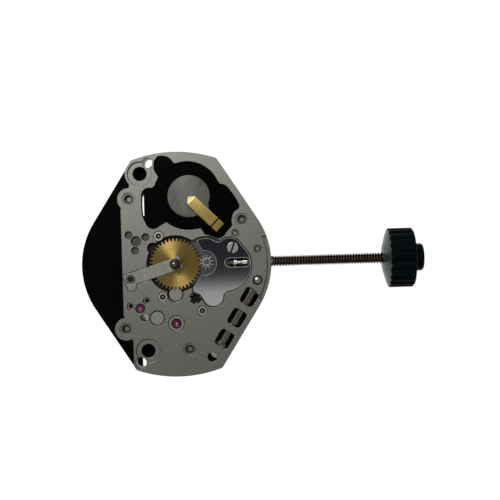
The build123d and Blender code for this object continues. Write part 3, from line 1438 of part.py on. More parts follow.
sub_parts = [
    mainplate,
    module_base,
    battery_cell,
    battery_contact,
    ruby_jewels,
    bearing_discs,
    plate_studs,
    hole_plugs,
    locating_dowel,
    plate_pillars,
    pillar_screws,
    centre_bush,
    minute_stud,
    keyless_cover,
    cover_screw,
    hour_wheel_clip,
    hour_wheel,
    cannon_pinion,
    minute_wheel,
    minute_pinion,
    centre_wheel,
    third_wheel,
    third_pinion,
    intermediate_wheel,
    intermediate_pinion,
    step_wheel,
    step_pinion,
    rotor_pinion,
    rotor_magnet,
    stator,
    coil_core,
    coil_flanges,
    coil_winding,
    winding_stem,
    sliding_pinion,
    crown,
    crown_hub,
    setting_lever,
    yoke,
    train_bridge,
    circuit_board,
    integrated_circuit,
    quartz_crystal,
    circuit_cover,
    battery_strap,
    bridge_screws,
    yoke_spring,
]
os.makedirs("parts", exist_ok=True)
for sub_part in sub_parts:
    export_step(sub_part.part, f"parts/{sub_part.part.label}.step")
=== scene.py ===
import logging
import math
from collections.abc import Callable, Sequence
from dataclasses import dataclass
from enum import Enum

import bmesh
import bpy
from mathutils import Matrix, Vector


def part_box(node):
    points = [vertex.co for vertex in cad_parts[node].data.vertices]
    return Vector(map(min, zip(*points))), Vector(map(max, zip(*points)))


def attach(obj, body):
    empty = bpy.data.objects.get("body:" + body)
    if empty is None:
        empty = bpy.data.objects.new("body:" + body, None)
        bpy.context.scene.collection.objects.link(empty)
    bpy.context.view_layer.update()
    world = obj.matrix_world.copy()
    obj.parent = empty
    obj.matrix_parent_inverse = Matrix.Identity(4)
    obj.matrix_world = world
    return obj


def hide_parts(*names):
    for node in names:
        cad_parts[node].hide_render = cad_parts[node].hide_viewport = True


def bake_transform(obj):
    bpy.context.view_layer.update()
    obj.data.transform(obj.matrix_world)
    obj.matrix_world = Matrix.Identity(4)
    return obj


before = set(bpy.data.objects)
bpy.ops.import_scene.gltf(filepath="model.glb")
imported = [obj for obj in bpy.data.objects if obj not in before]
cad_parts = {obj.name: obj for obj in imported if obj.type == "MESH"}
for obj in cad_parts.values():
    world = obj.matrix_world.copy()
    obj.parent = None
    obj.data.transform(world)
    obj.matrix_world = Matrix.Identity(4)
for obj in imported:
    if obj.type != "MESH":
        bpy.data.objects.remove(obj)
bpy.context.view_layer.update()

# The looks of a small two-hand quartz watch movement, dressed over its CAD frame.
# The origin is on the hands' axis at the plate's dial face, +Z to the dial, +X along the stem.
# Sizes in the classes are millimetres, and MM turns them into the frame's metres.

MM = 0.001
MERGE = 1e-7  # how near two points of a mesh are one, in metres
SLACK = 0.01  # how far a face may lie off a height and still count as on it, in millimetres
FULL_TURN = 2 * math.pi
ROUND_STEPS = 48  # the steps of a full turn

log = logging.getLogger("movement")

Colour = tuple[float, float, float]
Place = tuple[float, float]


class Grain(Enum):
    """How a surface was last worked, which decides its texture."""

    POLISHED = "polished"
    SATIN = "satin"
    BRUSHED = "brushed"
    TURNED = "turned"
    MOULDED = "moulded"


@dataclass(frozen=True)
class Finish:
    """One surface finish: its colour, gloss and the marks of its working.

    Args:
        slot: The record's material slot that the finish belongs to.
        colour: The base colour, linear.
        metallic: 1 for bare metal, 0 for plastic, stone or lacquer.
        roughness: The gloss, from 0 for a mirror.
        grain: The kind of working marks.
        marks: How many marks lie on a millimetre.
        depth: The depth of the marks, in millimetres.
        spread: How far the colour wanders, as a share.
        turn: The direction of brushed strokes, in degrees from +X.
        centre: The axis of turned rings, in millimetres.
        anisotropy: How far the highlight is drawn out across the marks.
        gloss: The strength of the mirror reflection on plastic, stone or lacquer.
        stroke: A brushed stroke's length, width and depth against each other.
        wobble: How far turned rings stray from a circle.
        detail: How fine the marks' noise gets, and how fine a satin surface's does.
        rough: How strong the finest noise is.
        tint_span: Between which heights of the marks the colour changes.
    """

    slot: str
    colour: Colour
    metallic: float = 1.0
    roughness: float = 0.3
    grain: Grain = Grain.SATIN
    marks: float = 20.0
    depth: float = 0.001
    spread: float = 0.1
    turn: float = 0.0
    centre: Place = (0.0, 0.0)
    anisotropy: float = 0.0
    gloss: float = 0.5
    stroke: tuple[float, float, float] = (10.0, 1.0, 4.0)
    wobble: float = 1.5
    detail: tuple[float, float] = (3.0, 5.0)
    rough: float = 0.6
    tint_span: tuple[float, float] = (0.3, 0.7)

    def material(self, name: str) -> bpy.types.Material:
        """Builds the finish as a node material.

        Args:
            name: The material's name.

        Returns:
            The material, procedural throughout.
        """
        made = bpy.data.materials.new(name)
        made.use_nodes = True
        made.diffuse_color = (*self.colour, 1)
        nodes, links = made.node_tree.nodes, made.node_tree.links
        shader = nodes["Principled BSDF"]
        shader.inputs["Base Color"].default_value = (*self.colour, 1)
        shader.inputs["Metallic"].default_value = self.metallic
        shader.inputs["Roughness"].default_value = self.roughness
        shader.inputs["Specular IOR Level"].default_value = self.gloss
        shader.inputs["Anisotropic"].default_value = self.anisotropy
        if self.grain is Grain.TURNED:
            self._tangent(nodes, links, shader)
        pattern = self._pattern(nodes, links)
        self._tint(nodes, links, pattern, shader)
        if self.grain is Grain.POLISHED:
            return made
        bump = nodes.new("ShaderNodeBump")
        bump.inputs["Strength"].default_value = 1.0
        bump.inputs["Distance"].default_value = self.depth * MM
        links.new(pattern, bump.inputs["Height"])
        links.new(bump.outputs["Normal"], shader.inputs["Normal"])
        return made

    def _pattern(self, nodes: bpy.types.Nodes, links: bpy.types.NodeLinks) -> bpy.types.NodeSocket:
        """The marks as a height from 0 to 1, on Object coordinates in millimetres.

        Args:
            nodes: The material's nodes.
            links: The material's links.

        Returns:
            The socket that holds the height.
        """
        place = nodes.new("ShaderNodeTexCoord")
        mapping = nodes.new("ShaderNodeMapping")
        mapping.inputs["Scale"].default_value = (1 / MM, 1 / MM, 1 / MM)
        links.new(place.outputs["Object"], mapping.inputs["Vector"])
        if self.grain is Grain.BRUSHED:
            mapping.vector_type = "TEXTURE"
            mapping.inputs["Scale"].default_value = Vector(self.stroke) * MM
            mapping.inputs["Rotation"].default_value = (0, 0, math.radians(self.turn))
        if self.grain is Grain.TURNED:
            mapping.inputs["Location"].default_value = (-self.centre[0], -self.centre[1], 0)
            rings = nodes.new("ShaderNodeTexWave")
            rings.wave_type = "RINGS"
            rings.rings_direction = "Z"
            rings.inputs["Scale"].default_value = self.marks
            rings.inputs["Distortion"].default_value = self.wobble
            rings.inputs["Detail"].default_value = self.detail[0]
            rings.inputs["Detail Scale"].default_value = self.wobble
            links.new(mapping.outputs["Vector"], rings.inputs["Vector"])
            return rings.outputs["Fac"]
        noise = nodes.new("ShaderNodeTexNoise")
        noise.inputs["Scale"].default_value = self.marks
        noise.inputs["Detail"].default_value = self.detail[self.grain is Grain.SATIN]
        noise.inputs["Roughness"].default_value = self.rough
        links.new(mapping.outputs["Vector"], noise.inputs["Vector"])
        return noise.outputs["Fac"]

    def _tangent(
        self, nodes: bpy.types.Nodes, links: bpy.types.NodeLinks, shader: bpy.types.Node
    ) -> None:
        """Draws the highlight out from the turned rings' axis.

        Args:
            nodes: The material's nodes.
            links: The material's links.
            shader: The material's shader.
        """
        place = nodes.new("ShaderNodeTexCoord")
        outward = nodes.new("ShaderNodeVectorMath")
        outward.operation = "MULTIPLY"
        outward.inputs[1].default_value = (1, 1, 0)
        links.new(place.outputs["Object"], outward.inputs[0])
        turned = nodes.new("ShaderNodeVectorTransform")
        turned.vector_type = "VECTOR"
        turned.convert_from = "OBJECT"
        turned.convert_to = "WORLD"
        links.new(outward.outputs["Vector"], turned.inputs["Vector"])
        links.new(turned.outputs["Vector"], shader.inputs["Tangent"])

    def _tint(
        self,
        nodes: bpy.types.Nodes,
        links: bpy.types.NodeLinks,
        pattern: bpy.types.NodeSocket,
        shader: bpy.types.Node,
    ) -> None:
        """Lets the colour and the gloss wander a little with the marks.

        Args:
            nodes: The material's nodes.
            links: The material's links.
            pattern: The marks' height.
            shader: The material's shader.
        """
        ramp = nodes.new("ShaderNodeValToRGB")
        low, high = 1 - self.spread, 1 + self.spread
        dark, light = ramp.color_ramp.elements
        dark.position, light.position = self.tint_span
        dark.color = (*(c * low for c in self.colour), 1)
        light.color = (*(min(c * high, 1) for c in self.colour), 1)
        links.new(pattern, ramp.inputs["Fac"])
        links.new(ramp.outputs["Color"], shader.inputs["Base Color"])
        gloss = nodes.new("ShaderNodeMapRange")
        gloss.inputs["To Min"].default_value = self.roughness * low
        gloss.inputs["To Max"].default_value = self.roughness * high
        links.new(pattern, gloss.inputs["Value"])
        links.new(gloss.outputs["Result"], shader.inputs["Roughness"])


@dataclass(frozen=True)
class Bush:
    """A small turned piece that is set in a round hole, with a hollow in its face.

    Args:
        centre: Where its axis stands, in millimetres.
        radius: Its outer radius.
        foot: The height of its lower end.
        top: The height of its face.
        rim: The width of the slope round its face.
        rim_drop: How deep that slope goes.
        cup: The radius of the hollow.
        cup_drop: How deep the hollow is.
        bore: The radius of the hole in the hollow's floor.
        bore_drop: How deep the hole's floor lies below the face.
        pin: The radius of the pin that stands in the hole, or 0.
        pin_drop: How deep the pin's end lies below the face.
        through: Whether the hole goes through.
        slope_share: How much of the rim counts as its slope.
        wall_share: How far a wall's faces may lie outside its radius, as a share.
    """

    centre: Place
    radius: float
    foot: float
    top: float
    rim: float = 0.04
    rim_drop: float = 0.12
    cup: float = 0.2
    cup_drop: float = 0.05
    bore: float = 0.15
    bore_drop: float = 0.25
    pin: float = 0.0
    pin_drop: float = 0.05
    through: bool = False
    slope_share: float = 0.9
    wall_share: float = 1.05

    def profile(self) -> list[Place]:
        """Its half section.

        Returns:
            Radius and height of each corner, from the foot up and in.
        """
        corners = [
            (self.radius, self.foot),
            (self.radius, self.top - self.rim_drop),
            (self.radius - self.rim, self.top),
            (self.cup, self.top),
            (self.bore, self.top - self.cup_drop),
        ]
        if self.through:
            return [(self.bore, self.foot), *corners, (self.bore, self.foot)]
        corners.append((self.bore, self.top - self.bore_drop))
        if self.pin:
            corners.append((self.pin, self.top - self.bore_drop))
            corners.append((self.pin, self.top - self.pin_drop - self.pin / 3))
            corners.append((self.pin / 2, self.top - self.pin_drop))
        return [(0.0, self.foot), *corners, (0.0, corners[-1][1])]

    def in_painted_shade(self, centre: Vector) -> bool:
        """Whether a face of the piece lies down in its hole, or on the slope round its face, where
        it gets painted shade.

        Args:
            centre: The face's centre, in millimetres.

        Returns:
            Whether it gets painted shade.
        """
        aside = (centre.xy - Vector(self.centre)).length
        low = centre.z < self.top - self.cup_drop - SLACK
        hole = self.pin * self.wall_share < aside < self.bore * self.wall_share
        slope = self.radius - self.rim * self.slope_share < aside < self.radius + SLACK / 2
        below = centre.z < self.top - self.rim_drop / 4
        return (slope and below) or (low and hole)

    def is_cup(self, centre: Vector) -> bool:
        """Whether a face of the piece lies on the slope of its hollow."""
        aside = (centre.xy - Vector(self.centre)).length
        return self.bore < aside < self.cup and centre.z > self.top - self.cup_drop


class Bench:
    """The workbench: makes materials once, and dresses or refines the CAD nodes."""

    on_plane: float = 0.001
    upright: float = 0.5
    sharp_angle: float = 32.0
    ease_steps: int = 2
    bush_smooth: float = 12.0
    # the colour of the painted shade in the bushes' holes and on the slopes round their faces
    pit_shade_colour: Colour = (0.004, 0.003, 0.003)

    def __init__(self) -> None:
        """Starts with no materials made."""
        self.materials: dict[str, bpy.types.Material] = {}

    def paint(self, piece: bpy.types.Object, name: str, finish: Finish) -> None:
        """Gives a piece one finish.

        Args:
            piece: The mesh object.
            name: The name that the finish's material has.
            finish: The finish.
        """
        if name not in self.materials:
            self.materials[name] = finish.material(name)
        piece.data.materials.clear()
        piece.data.materials.append(self.materials[name])
        for face in piece.data.polygons:
            face.material_index = 0

    def paint_zone(
        self,
        piece: bpy.types.Object,
        name: str,
        finish: Finish,
        chosen: Callable[[Vector, Vector], bool],
    ) -> None:
        """Gives some of a piece's faces another finish.

        Args:
            piece: The mesh object, which has its first finish.
            name: The name of the other finish's material.
            finish: The other finish.
            chosen: Says of a face's centre, in millimetres, and normal whether it is painted.
        """
        if name not in self.materials:
            self.materials[name] = finish.material(name)
        piece.data.materials.append(self.materials[name])
        last = len(piece.data.materials) - 1
        for face in piece.data.polygons:
            if chosen(face.center / MM, face.normal):
                face.material_index = last

    def dress(self, node: str, name: str, finish: Finish) -> bpy.types.Object:
        """Gives a CAD node its finish and leaves its shape alone.

        Args:
            node: The node's name.
            name: The material's name.
            finish: The finish.

        Returns:
            The node's object.
        """
        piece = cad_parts[node]
        self.paint(piece, name, finish)
        log.info("dressed %s in %s", node, name)
        return piece

    def copy(self, node: str) -> bmesh.types.BMesh:
        """A merged copy of a CAD node's mesh, which its refined piece starts from.

        Args:
            node: The node's name.

        Returns:
            The copy.
        """
        made = bmesh.new()
        made.from_mesh(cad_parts[node].data)
        bmesh.ops.remove_doubles(made, verts=made.verts, dist=MERGE)
        bmesh.ops.dissolve_degenerate(made, edges=made.edges, dist=MERGE)
        return made

    def cut(self, made: bmesh.types.BMesh, x: float, side: int) -> None:
        """Cuts a mesh across the X axis and closes the cut.

        Args:
            made: The mesh that is being worked.
            x: Where the cut lies, in millimetres.
            side: 1 drops what lies beyond the cut, -1 what lies before it.
        """
        bmesh.ops.bisect_plane(
            made,
            geom=made.verts[:] + made.edges[:] + made.faces[:],
            dist=MERGE / 10,
            plane_co=(x * MM, 0, 0),
            plane_no=(side, 0, 0),
            clear_outer=True,
        )
        cut = {vert for vert in made.verts if abs(vert.co.x / MM - x) < self.on_plane}
        open_edges = [e for e in made.edges if len(e.link_faces) == 1 and cut.issuperset(e.verts)]
        bmesh.ops.holes_fill(made, edges=open_edges, sides=0)

    def draw_in(
        self, made: bmesh.types.BMesh, width: float, spared: Callable[[Vector], bool]
    ) -> None:
        """Draws the upright walls of a sheet in a little, so that a gap shows round it.

        Args:
            made: The mesh that is being worked.
            width: How far the walls go in, in millimetres.
            spared: Says of a place, in millimetres, whether it is left alone.
        """
        moves = []
        for vert in made.verts:
            if spared(vert.co / MM):
                continue
            walls = [f.normal for f in vert.link_faces if abs(f.normal.z) < self.upright]
            if walls:
                moves.append((vert, sum(walls, Vector()).normalized()))
        for vert, out in moves:
            vert.co -= out * width * MM

    def ease(
        self,
        made: bmesh.types.BMesh,
        width: float,
        spared: Callable[[Vector], bool] = lambda place: False,
    ) -> None:
        """Rounds every sharp outer edge a little, so that it catches the light.

        Args:
            made: The mesh that is being worked.
            width: The width of the rounding, in millimetres.
            spared: Says of a place, in millimetres, whether it is left alone.
        """
        limit = math.radians(self.sharp_angle)
        edges = [e for e in made.edges if len(e.link_faces) == 2 and e.calc_face_angle() > limit]
        edges = [e for e in edges if e.is_convex and not spared(e.verts[0].co / MM)]
        rounded = bmesh.ops.bevel(
            made,
            geom=edges,
            offset=width * MM,
            offset_type="OFFSET",
            affect="EDGES",
            segments=self.ease_steps,
            profile=0.5,
            material=-1,
            clamp_overlap=False,
            miter_outer="SHARP",
        )
        strips = set(rounded["faces"])
        for edge in made.edges:
            if sum(face in strips for face in edge.link_faces) == 1:
                edge.smooth = False

    def turned(
        self, made: bmesh.types.BMesh, profile: list[Place], centre: Place
    ) -> None:
        """Adds a turned body on an upright axis: a half section spun all the way round.

        Args:
            made: The mesh that gets it.
            profile: Radius and height of each corner, in millimetres, from axis to axis or closed.
            centre: Where the axis stands.
        """
        cent = Vector((centre[0] * MM, centre[1] * MM, 0))
        verts = [made.verts.new(cent + Vector((r * MM, 0, z * MM))) for r, z in profile]
        edges = [made.edges.new(pair) for pair in zip(verts, verts[1:])]
        before = set(made.faces)
        bmesh.ops.spin(
            made,
            geom=verts + edges,
            cent=cent,
            axis=(0, 0, 1),
            dvec=(0, 0, 0),
            angle=FULL_TURN,
            steps=ROUND_STEPS,
            use_merge=True,
            use_duplicate=False,
        )
        fresh = {v for face in made.faces if face not in before for v in face.verts}
        bmesh.ops.remove_doubles(made, verts=list(fresh), dist=MERGE)
        bmesh.ops.dissolve_degenerate(made, edges=made.edges, dist=MERGE)
        bmesh.ops.recalc_face_normals(made, faces=made.faces)

    def bushes(
        self,
        name: str,
        body: str,
        finish_name: str,
        finish: Finish,
        row: Sequence[Bush],
        nodes: tuple[str, ...] = (),
    ) -> bpy.types.Object:
        """Makes a set of small turned pieces as one, with painted shade in their holes and on the
        slopes round their faces.

        Args:
            name: The piece's name.
            body: The body that it rides on.
            finish_name: The material's name.
            finish: The finish.
            row: The turned pieces.
            nodes: The CAD nodes that they stand for.

        Returns:
            The finished object.
        """
        made = bmesh.new()
        for bush in row:
            self.turned(made, bush.profile(), bush.centre)
        done = self.piece(made, name, body, finish_name, finish, nodes, self.bush_smooth)
        # painted shade down in the holes and on the slopes round the faces
        pit = Finish(
            finish.slot, self.pit_shade_colour, metallic=0.0, roughness=0.4, spread=0.2, gloss=0.1
        )
        self.paint_zone(done, "pit painted shade", pit, lambda c, _: any(bush.in_painted_shade(c) for bush in row))
        return done

    def piece(
        self,
        made: bmesh.types.BMesh,
        name: str,
        body: str,
        finish_name: str,
        finish: Finish,
        nodes: tuple[str, ...] = (),
        smooth: float = 40.0,
    ) -> bpy.types.Object:
        """Turns a worked mesh into a finished piece that rides on its body.

        Args:
            made: The mesh, which is freed.
            name: The piece's name.
            body: The body that it rides on, or nothing, which leaves it on no body.
            finish_name: The material's name.
            finish: The finish.
            nodes: The CAD nodes that it stands for.
            smooth: The greatest angle that is shaded smooth, in degrees.

        Returns:
            The finished object.
        """
        mesh = bpy.data.meshes.new(name)
        for face in made.faces:
            face.smooth = True
        for edge in made.edges:
            if len(edge.link_faces) == 2 and edge.calc_face_angle(0) > math.radians(smooth):
                edge.smooth = False
        made.to_mesh(mesh)
        made.free()
        made_piece = bpy.data.objects.new(name, mesh)
        bpy.context.scene.collection.objects.link(made_piece)
        self.paint(made_piece, finish_name, finish)
        if body:
            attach(made_piece, body)
        if nodes:
            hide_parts(*nodes)
        log.info("made %s on %s", name, body or "two bodies")
        return made_piece

    def refine(
        self, node: str, body: str, finish_name: str, finish: Finish, width: float
    ) -> bpy.types.Object:
        """Replaces a CAD node by a copy of it with its edges eased.

        Args:
            node: The node's name.
            body: The body that it rides on.
            finish_name: The material's name.
            finish: The finish.
            width: The width of the rounding, in millimetres.

        Returns:
            The refined piece.
        """
        made = self.copy(node)
        self.ease(made, width)
        return self.piece(made, f"{node}_fine", body, finish_name, finish, (node,))


@dataclass
class PlateAssembly:
    """The mainplate with its jewels, bearings, studs and pins."""

    edge: float = 0.03
    recess_depth: float = 0.42
    recess_reach: float = 2.75
    cover_depth: float = 0.19
    notch: Place = (1.553, -2.753)
    notch_reach: float = 0.9
    cover_box: tuple[Place, Place] = ((0.8, -3.7), (6.3, 2.3))
    blind_holes: tuple[Place, Place] = ((-4.5, 1.0), (-1.75, 3.2))
    notch_pin: Place = (1.24, -2.5)
    pin_radius: float = 0.13
    pin_slope: float = 0.05
    pin_foot: float = -0.54
    pin_top: float = -0.25
    studs: tuple[Bush, ...] = (
        Bush((-1.283, 2.277), 0.4, -2.15, 0.0, cup=0.23, bore=0.16, pin=0.09),
        Bush((2.061, -3.789), 0.4, -2.15, 0.0, cup=0.23, bore=0.16, pin=0.09),
        Bush((-1.079, -2.600), 0.4, -1.0, 0.0, cup=0.23, bore=0.16, pin=0.09),
    )
    plugs: tuple[Bush, ...] = (
        Bush((-2.362, -2.871), 0.3, -1.0, -0.3, cup=0.2),
        Bush((-3.670, -3.266), 0.3, -1.0, -0.3, cup=0.2),
    )
    third: Bush = Bush(
        (-0.070, -2.430), 0.6, -0.72, -0.42, rim=0.07, cup=0.09, cup_drop=0.01, bore=0.07,
        bore_drop=0.15,
    )
    step: Bush = Bush(
        (-1.579, -4.269), 0.6, -0.35, -0.05, rim=0.07, cup=0.09, cup_drop=0.01, bore=0.07,
        bore_drop=0.15,
    )
    rotor: Bush = Bush((-0.049, -4.748), 0.64, -0.35, -0.025, cup=0.42, bore=0.381, through=True)
    jewels: tuple[Bush, ...] = (
        Bush(
            (-2.910, -3.469), 0.38, -0.35, -0.05, rim=0.03, rim_drop=0.04, cup=0.27,
            cup_drop=0.08, bore=0.08, bore_drop=0.16,
        ),
        Bush(
            (-0.049, -4.748), 0.38, -0.35, -0.05, rim=0.03, rim_drop=0.04, cup=0.27,
            cup_drop=0.08, bore=0.08, bore_drop=0.16,
        ),
    )
    dowel_rise: float = 0.9
    dome_steps: int = 8
    plate: Finish = Finish(
        "plate_nickel", (0.082, 0.082, 0.073), roughness=0.42, marks=11.0, depth=0.006,
        spread=0.35,
    )
    # painted shade for the plate's floors below the hour wheel, round the cover and in the notch
    shade: Finish = Finish(
        "plate_nickel", (0.005, 0.003, 0.002), metallic=0.0, roughness=0.4, spread=0.2,
        gloss=0.06,
    )
    # a darker copy of the plate: painted shade in the blind holes and on the pillar ends down in
    # their holes
    painted_hole_shade: Finish = Finish(
        "plate_nickel", (0.028, 0.028, 0.026), roughness=0.42, marks=11.0, depth=0.005,
        spread=0.3,
    )
    ring: Finish = Finish("bearing_steel", (0.16, 0.16, 0.14), spread=0.15)
    stud: Finish = Finish(
        "stud_brass", (0.24, 0.235, 0.20), roughness=0.28, marks=18.0, spread=0.15
    )
    ruby: Finish = Finish(
        "ruby", (0.022, 0.004, 0.014), metallic=0.0, roughness=0.16, grain=Grain.POLISHED,
        gloss=0.15,
    )
    # a lighter copy of the ruby: painted light in the jewels' cups, where light comes through the
    # stone
    cup: Finish = Finish(
        "ruby", (0.065, 0.004, 0.022), metallic=0.0, roughness=0.2, grain=Grain.POLISHED,
        gloss=0.3,
    )
    pin: Finish = Finish(
        "polished_steel", (0.13, 0.13, 0.13), roughness=0.2, grain=Grain.POLISHED
    )

    def build(self, bench: Bench) -> None:
        """Refines the plate and what is set in it.

        Args:
            bench: The workbench.
        """
        plate = bench.refine("mainplate", "movement", "plate satin", self.plate, self.edge)
        # the blind holes get the darker copy of the plate as painted shade
        bench.paint_zone(plate, "hole shade", self.painted_hole_shade, self.in_hole)
        # the floors below the hour wheel, round the cover and in the notch get painted shade
        bench.paint_zone(plate, "recess shade", self.shade, self.in_shade)
        self.bearings(bench)
        self.fastenings(bench)
        self.dowel(bench)
        self.notch_post(bench)
        # the pillar ends down in the plate's holes get the same painted shade
        bench.dress("plate_pillars", "hole shade", self.painted_hole_shade)
        bench.dress("centre_bush", "stud metal", self.stud)
        bench.dress("minute_stud", "pin steel", self.pin)

    def in_hole(self, centre: Vector, normal: Vector) -> bool:
        """Whether a face lies in one of the small blind holes beside the hour wheel, where the
        plate gets painted shade.

        Args:
            centre: The face's centre, in millimetres.
            normal: The way it faces; not used.

        Returns:
            Whether it lies there.
        """
        low, high = self.blind_holes
        inside = low[0] < centre.x < high[0] and low[1] < centre.y < high[1]
        return inside and centre.z < -self.edge * 1.5

    def in_shade(self, centre: Vector, normal: Vector) -> bool:
        """Whether a face lies on the floor below the hour wheel, round the cover or in the notch,
        where the plate gets painted shade.

        Args:
            centre: The face's centre, in millimetres.
            normal: The way it faces; not used.

        Returns:
            Whether it lies there.
        """
        floor = abs(centre.z + self.recess_depth) < SLACK
        recess = floor and centre.xy.length < self.recess_reach
        low, high = self.cover_box
        beside = [low[i] < centre[i] < high[i] for i in range(2)]
        seat = all(beside) and -self.cover_depth - SLACK < centre.z < -self.edge * 1.5
        aside = (centre.xy - Vector(self.notch)).length
        notch = centre.z < -self.cover_depth / 2 and aside < self.notch_reach
        return recess or seat or notch

    def bearings(self, bench: Bench) -> None:
        """Turns the bearing discs and the ruby jewels of the train.

        Args:
            bench: The workbench.
        """
        discs = (self.third, self.step, self.rotor)
        bench.bushes(
            "bearing_discs_fine", "movement", "bearing metal", self.ring, discs, ("bearing_discs",)
        )
        made = bench.bushes(
            "ruby_jewels_fine", "movement", "ruby", self.ruby, self.jewels, ("ruby_jewels",)
        )
        # the cups get the lighter ruby as painted light
        bench.paint_zone(
            made, "ruby cup painted light", self.cup, lambda c, _: any(jewel.is_cup(c) for jewel in self.jewels)
        )

    def fastenings(self, bench: Bench) -> None:
        """Turns the studs and the plugs that are set in the plate.

        Args:
            bench: The workbench.
        """
        for name, row in (("plate_studs", self.studs), ("hole_plugs", self.plugs)):
            bench.bushes(f"{name}_fine", "movement", "stud metal", self.stud, row, (name,))

    def notch_post(self, bench: Bench) -> None:
        """Makes the small post that shows in the notch beside the cover.

        Args:
            bench: The workbench.
        """
        profile = [
            (0.0, self.pin_foot),
            (self.pin_radius, self.pin_foot),
            (self.pin_radius, self.pin_top - self.pin_slope),
            (self.pin_radius - self.pin_slope, self.pin_top),
            (0.0, self.pin_top),
        ]
        made = bmesh.new()
        bench.turned(made, profile, self.notch_pin)
        bench.piece(made, "notch_pin", "movement", "pin steel", self.pin)

    def dowel(self, bench: Bench) -> None:
        """Makes the locating dowel: a pin whose end is a true dome.

        Args:
            bench: The workbench.
        """
        low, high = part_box("locating_dowel")
        radius = (high.x - low.x) / 2 / MM
        middle = ((high.x + low.x) / 2 / MM, (high.y + low.y) / 2 / MM)
        top = high.z / MM
        rise = self.dowel_rise * top
        sphere = (radius**2 + rise**2) / (2 * rise)
        profile = [(0.0, low.z / MM), (radius, low.z / MM), (radius, top - rise)]
        for step in range(1, self.dome_steps + 1):
            out = radius * math.cos(math.pi / 2 * step / self.dome_steps)
            profile.append((out, top - sphere + math.sqrt(sphere**2 - out**2)))
        made = bmesh.new()
        bench.turned(made, profile, middle)
        bench.piece(made, "dowel_dome", "movement", "pin steel", self.pin, ("locating_dowel",))


@dataclass
class BatterySeat:
    """The black base with the battery, its contact and its strap."""

    edge: float = 0.05
    plastic: Finish = Finish(
        "black_plastic", (0.0006, 0.0005, 0.0006), metallic=0.0, roughness=0.2,
        grain=Grain.MOULDED, marks=2.0, depth=0.002, gloss=0.02,
    )
    cell: Finish = Finish(
        "cell_steel", (0.037, 0.037, 0.033), roughness=0.42, grain=Grain.BRUSHED, marks=14.0,
        depth=0.0025, spread=0.4, turn=55.0,
    )
    gold: Finish = Finish("gold_contact", (0.44, 0.33, 0.10), roughness=0.2, marks=8.0)
    # a lighter, rougher copy of the gold: painted highlight on the contact's bent tip
    tip: Finish = Finish(
        "gold_contact", (1.0, 0.86, 0.45), roughness=0.6, marks=8.0, spread=0.05
    )
    # a darker copy of the gold: painted shade on the contact's tail beyond the fold
    tail: Finish = Finish(
        "gold_contact", (0.12, 0.09, 0.03), roughness=0.35, marks=8.0, spread=0.2
    )
    sight: Place = (-2.87, -7.72)
    sight_radius: float = 0.5
    sight_top: float = -1.0
    sight_thick: float = 0.15
    sight_cut: float = 0.05
    tip_lean: float = 0.1
    contact_line: tuple[Place, Place] = ((1.4, 5.15), (3.3, 3.2))
    strap: Finish = Finish("clip_steel", (0.45, 0.45, 0.42), grain=Grain.BRUSHED, marks=8.0)

    def build(self, bench: Bench) -> None:
        """Refines the base, the battery and its contacts.

        Args:
            bench: The workbench.
        """
        bench.refine("module_base", "movement", "black plastic", self.plastic, self.edge)
        bench.refine("battery_cell", "movement", "cell steel", self.cell, self.edge / 4)
        contact = bench.refine(
            "battery_contact", "movement", "gold plate", self.gold, self.edge / 3
        )
        # the tip gets a painted highlight
        bench.paint_zone(contact, "gold tip painted highlight", self.tip, self.on_tip)
        # the tail gets painted shade
        bench.paint_zone(contact, "gold tail painted shade", self.tail, self.on_tail)
        bench.refine("battery_strap", "movement", "sheet steel", self.strap, self.edge / 4)
        self.sight_lip(bench)

    def sight_lip(self, bench: Bench) -> None:
        """Makes the black lip that half closes the sight hole from below.

        Args:
            bench: The workbench.
        """
        place = Vector((*self.sight, self.sight_top - self.sight_thick / 2)) * MM
        made = bmesh.new()
        bmesh.ops.create_cone(
            made,
            cap_ends=True,
            segments=ROUND_STEPS,
            radius1=self.sight_radius * MM,
            radius2=self.sight_radius * MM,
            depth=self.sight_thick * MM,
            matrix=Matrix.Translation(place),
        )
        bench.cut(made, self.sight[0] - self.sight_cut, 1)
        bench.piece(made, "sight_lip", "movement", "black plastic", self.plastic)

    def along(self, centre: Vector) -> float:
        """Where a face lies along the contact, from 0 at the tip's bend to 1 at the tail's."""
        start, end = (Vector(place) for place in self.contact_line)
        return (centre.xy - start).dot(end - start) / (end - start).length_squared

    def on_tip(self, centre: Vector, normal: Vector) -> bool:
        """Whether a face lies on the contact's bent tip, which gets a painted highlight."""
        return self.along(centre) < 0 and normal.z > self.tip_lean

    def on_tail(self, centre: Vector, normal: Vector) -> bool:
        """Whether a face lies on the contact's tail, which gets painted shade."""
        return self.along(centre) > 1


